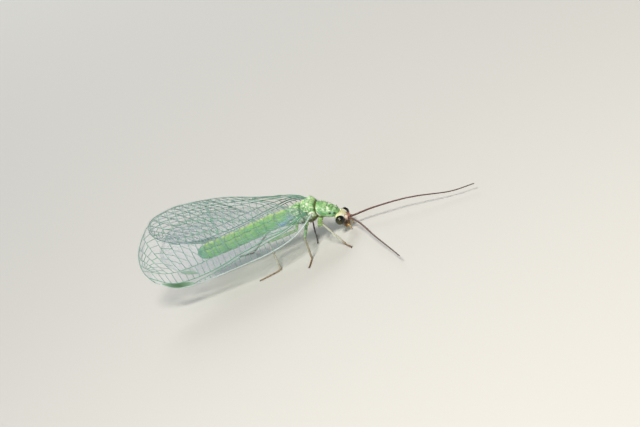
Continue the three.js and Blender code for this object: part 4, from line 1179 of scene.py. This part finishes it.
# Limbs: their path and radius, the step between hairs, their colour and their length.
limbs = [(*limb, 0.030, "#8f8468", 0.05) for limb in leg_paths.values()]
limbs += [(*limb, 0.035, "#4a3830", 0.045) for limb in feeler_paths.values()]
for number, (path, radius, step, colour, longest) in enumerate(limbs):
    at = scatter(path, step)
    centre_line, thick = through(path, at), np.interp(at, np.arange(len(path)), radius)
    ahead = unit(through(np.gradient(path, axis=0), at))
    swing = draw.uniform(0, 2 * np.pi, len(at))
    side = unit(np.cross(ahead, [0.2, 0.3, 0.93]))
    off = np.cos(swing)[:, None] * side + np.sin(swing)[:, None] * np.cross(ahead, side)
    roots = centre_line + off * thick[:, None] * 0.9
    keep = roots[:, 2] > FLOOR_CLEARANCE
    place = np.stack([0.52 + 0.45 * at / len(path), 0.02 + (number + swing / 6.3) * 0.11], -1)
    beds.append([roots[keep], (off + ahead * 0.9)[keep], ahead[keep],
                 (longest * draw.uniform(0.7, 1.4, len(at)))[keep], place[keep], colour])
add_hairs("body_hairs", beds, BRISTLE)

# Floor
# A plain pale board, painted matt, that the insect stands on.

material, tree, shader = new_material("matt pale paint")
where = add_node(tree, "ShaderNodeTexCoord").outputs["Object"]
grain = add_node(tree, "ShaderNodeTexNoise", inputs={
    "Vector": where, "Scale": 1 / (0.8 * MM), "Detail": 3.0})
bump = add_node(tree, "ShaderNodeBump", inputs={
    "Height": grain.outputs["Fac"], "Distance": 0.02 * MM, "Strength": 0.2})
tree.links.new(bump.outputs["Normal"], shader.inputs["Normal"])
set_inputs(shader, {"Base Color": (*linear("#cfcfcb"), 1), "Roughness": 0.8})
FLOOR_HALF = 0.9  # metres
corners = [(FLOOR_HALF * a, FLOOR_HALF * b, 0) for a, b in ((-1, -1), (1, -1), (1, 1), (-1, 1))]
mesh = bpy.data.meshes.new("floor")
mesh.from_pydata(corners, [], [(0, 1, 2, 3)])
mesh.materials.append(material)
floor = bpy.data.objects.new("floor", mesh)
bpy.context.scene.collection.objects.link(floor)

# Lights
# Soft studio light: a large key from above on the camera's side, a wide weaker fill, a rim light
# behind for the wings, and a pale room.


def facing(right, up, back, place):
    """The matrix of a thing at a place: its own x, y and z axes and the place are the columns."""
    return Matrix([*np.stack([right, up, back, place], -1).tolist(), [0, 0, 0, 1]])


def add_light(name, place_mm, aim_mm, size_mm, watts, code="#ffffff"):
    """A square soft light at a place, facing a point; both in millimetres from the hind foot."""
    light = bpy.data.lights.new(name, "AREA")
    light.size = size_mm * MM
    light.energy = watts
    light.color = linear(code)
    lamp = bpy.data.objects.new(name, light)
    bpy.context.scene.collection.objects.link(lamp)
    place, aim = in_frame(place_mm), in_frame(aim_mm)
    back = unit(place - aim)
    right = unit(np.cross([0.0, 0.0, 1.0], back))
    lamp.matrix_world = facing(right, np.cross(back, right), back, place)


BODY_MIDDLE = [0.5, 0.0, 2.0]
add_light("key", [40, -70, 120], BODY_MIDDLE, 38, 0.20, "#fff8ee")
add_light("fill", [-90, -110, 60], BODY_MIDDLE, 110, 0.055, "#eaf2ff")
add_light("rim", [-60, 120, 80], BODY_MIDDLE, 60, 0.085, "#ffffff")
world = bpy.data.worlds.new("pale room")
world.use_nodes = True
set_inputs(world.node_tree.nodes["Background"], {"Color": (*linear("#dfe3e6"), 1), "Strength": 0.22})
bpy.context.scene.world = world
bpy.context.scene.cycles.transparent_max_bounces = 32
bpy.context.scene.view_settings.view_transform = "Standard"
bpy.context.scene.view_settings.look = "None"

# Camera
# A long lens at the insect's right front, a little above the floor, turned about its own axis as
# the insect stood on a slope in the picture.

FRAME_WIDTH = 640  # pixels
PIXELS_PER_MM = 17.0
PICTURE_CENTRE = [3.164, 0.0, 1.626]
AZIMUTH = np.radians(32.9)
ELEVATION = np.radians(20.55)
ROLL = np.radians(-34.4)
LENS, SENSOR = 300.0, 36.0
back = np.array([np.cos(ELEVATION) * np.sin(AZIMUTH), -np.cos(ELEVATION) * np.cos(AZIMUTH),
                 np.sin(ELEVATION)])
level = np.array([np.cos(AZIMUTH), np.sin(AZIMUTH), 0.0])
right = level * np.cos(ROLL) + np.cross(back, level) * np.sin(ROLL)
up = np.cross(back, right)
distance = FRAME_WIDTH / PIXELS_PER_MM * MM * LENS / SENSOR
camera = bpy.data.cameras.new("camera")
camera.lens = LENS
camera.sensor_width = SENSOR
camera.clip_start = 0.005
camera.clip_end = 10.0
viewer = bpy.data.objects.new("camera", camera)
bpy.context.scene.collection.objects.link(viewer)
place = in_frame(PICTURE_CENTRE) + back * distance
viewer.matrix_world = facing(right, up, back, place)
bpy.context.scene.camera = viewer
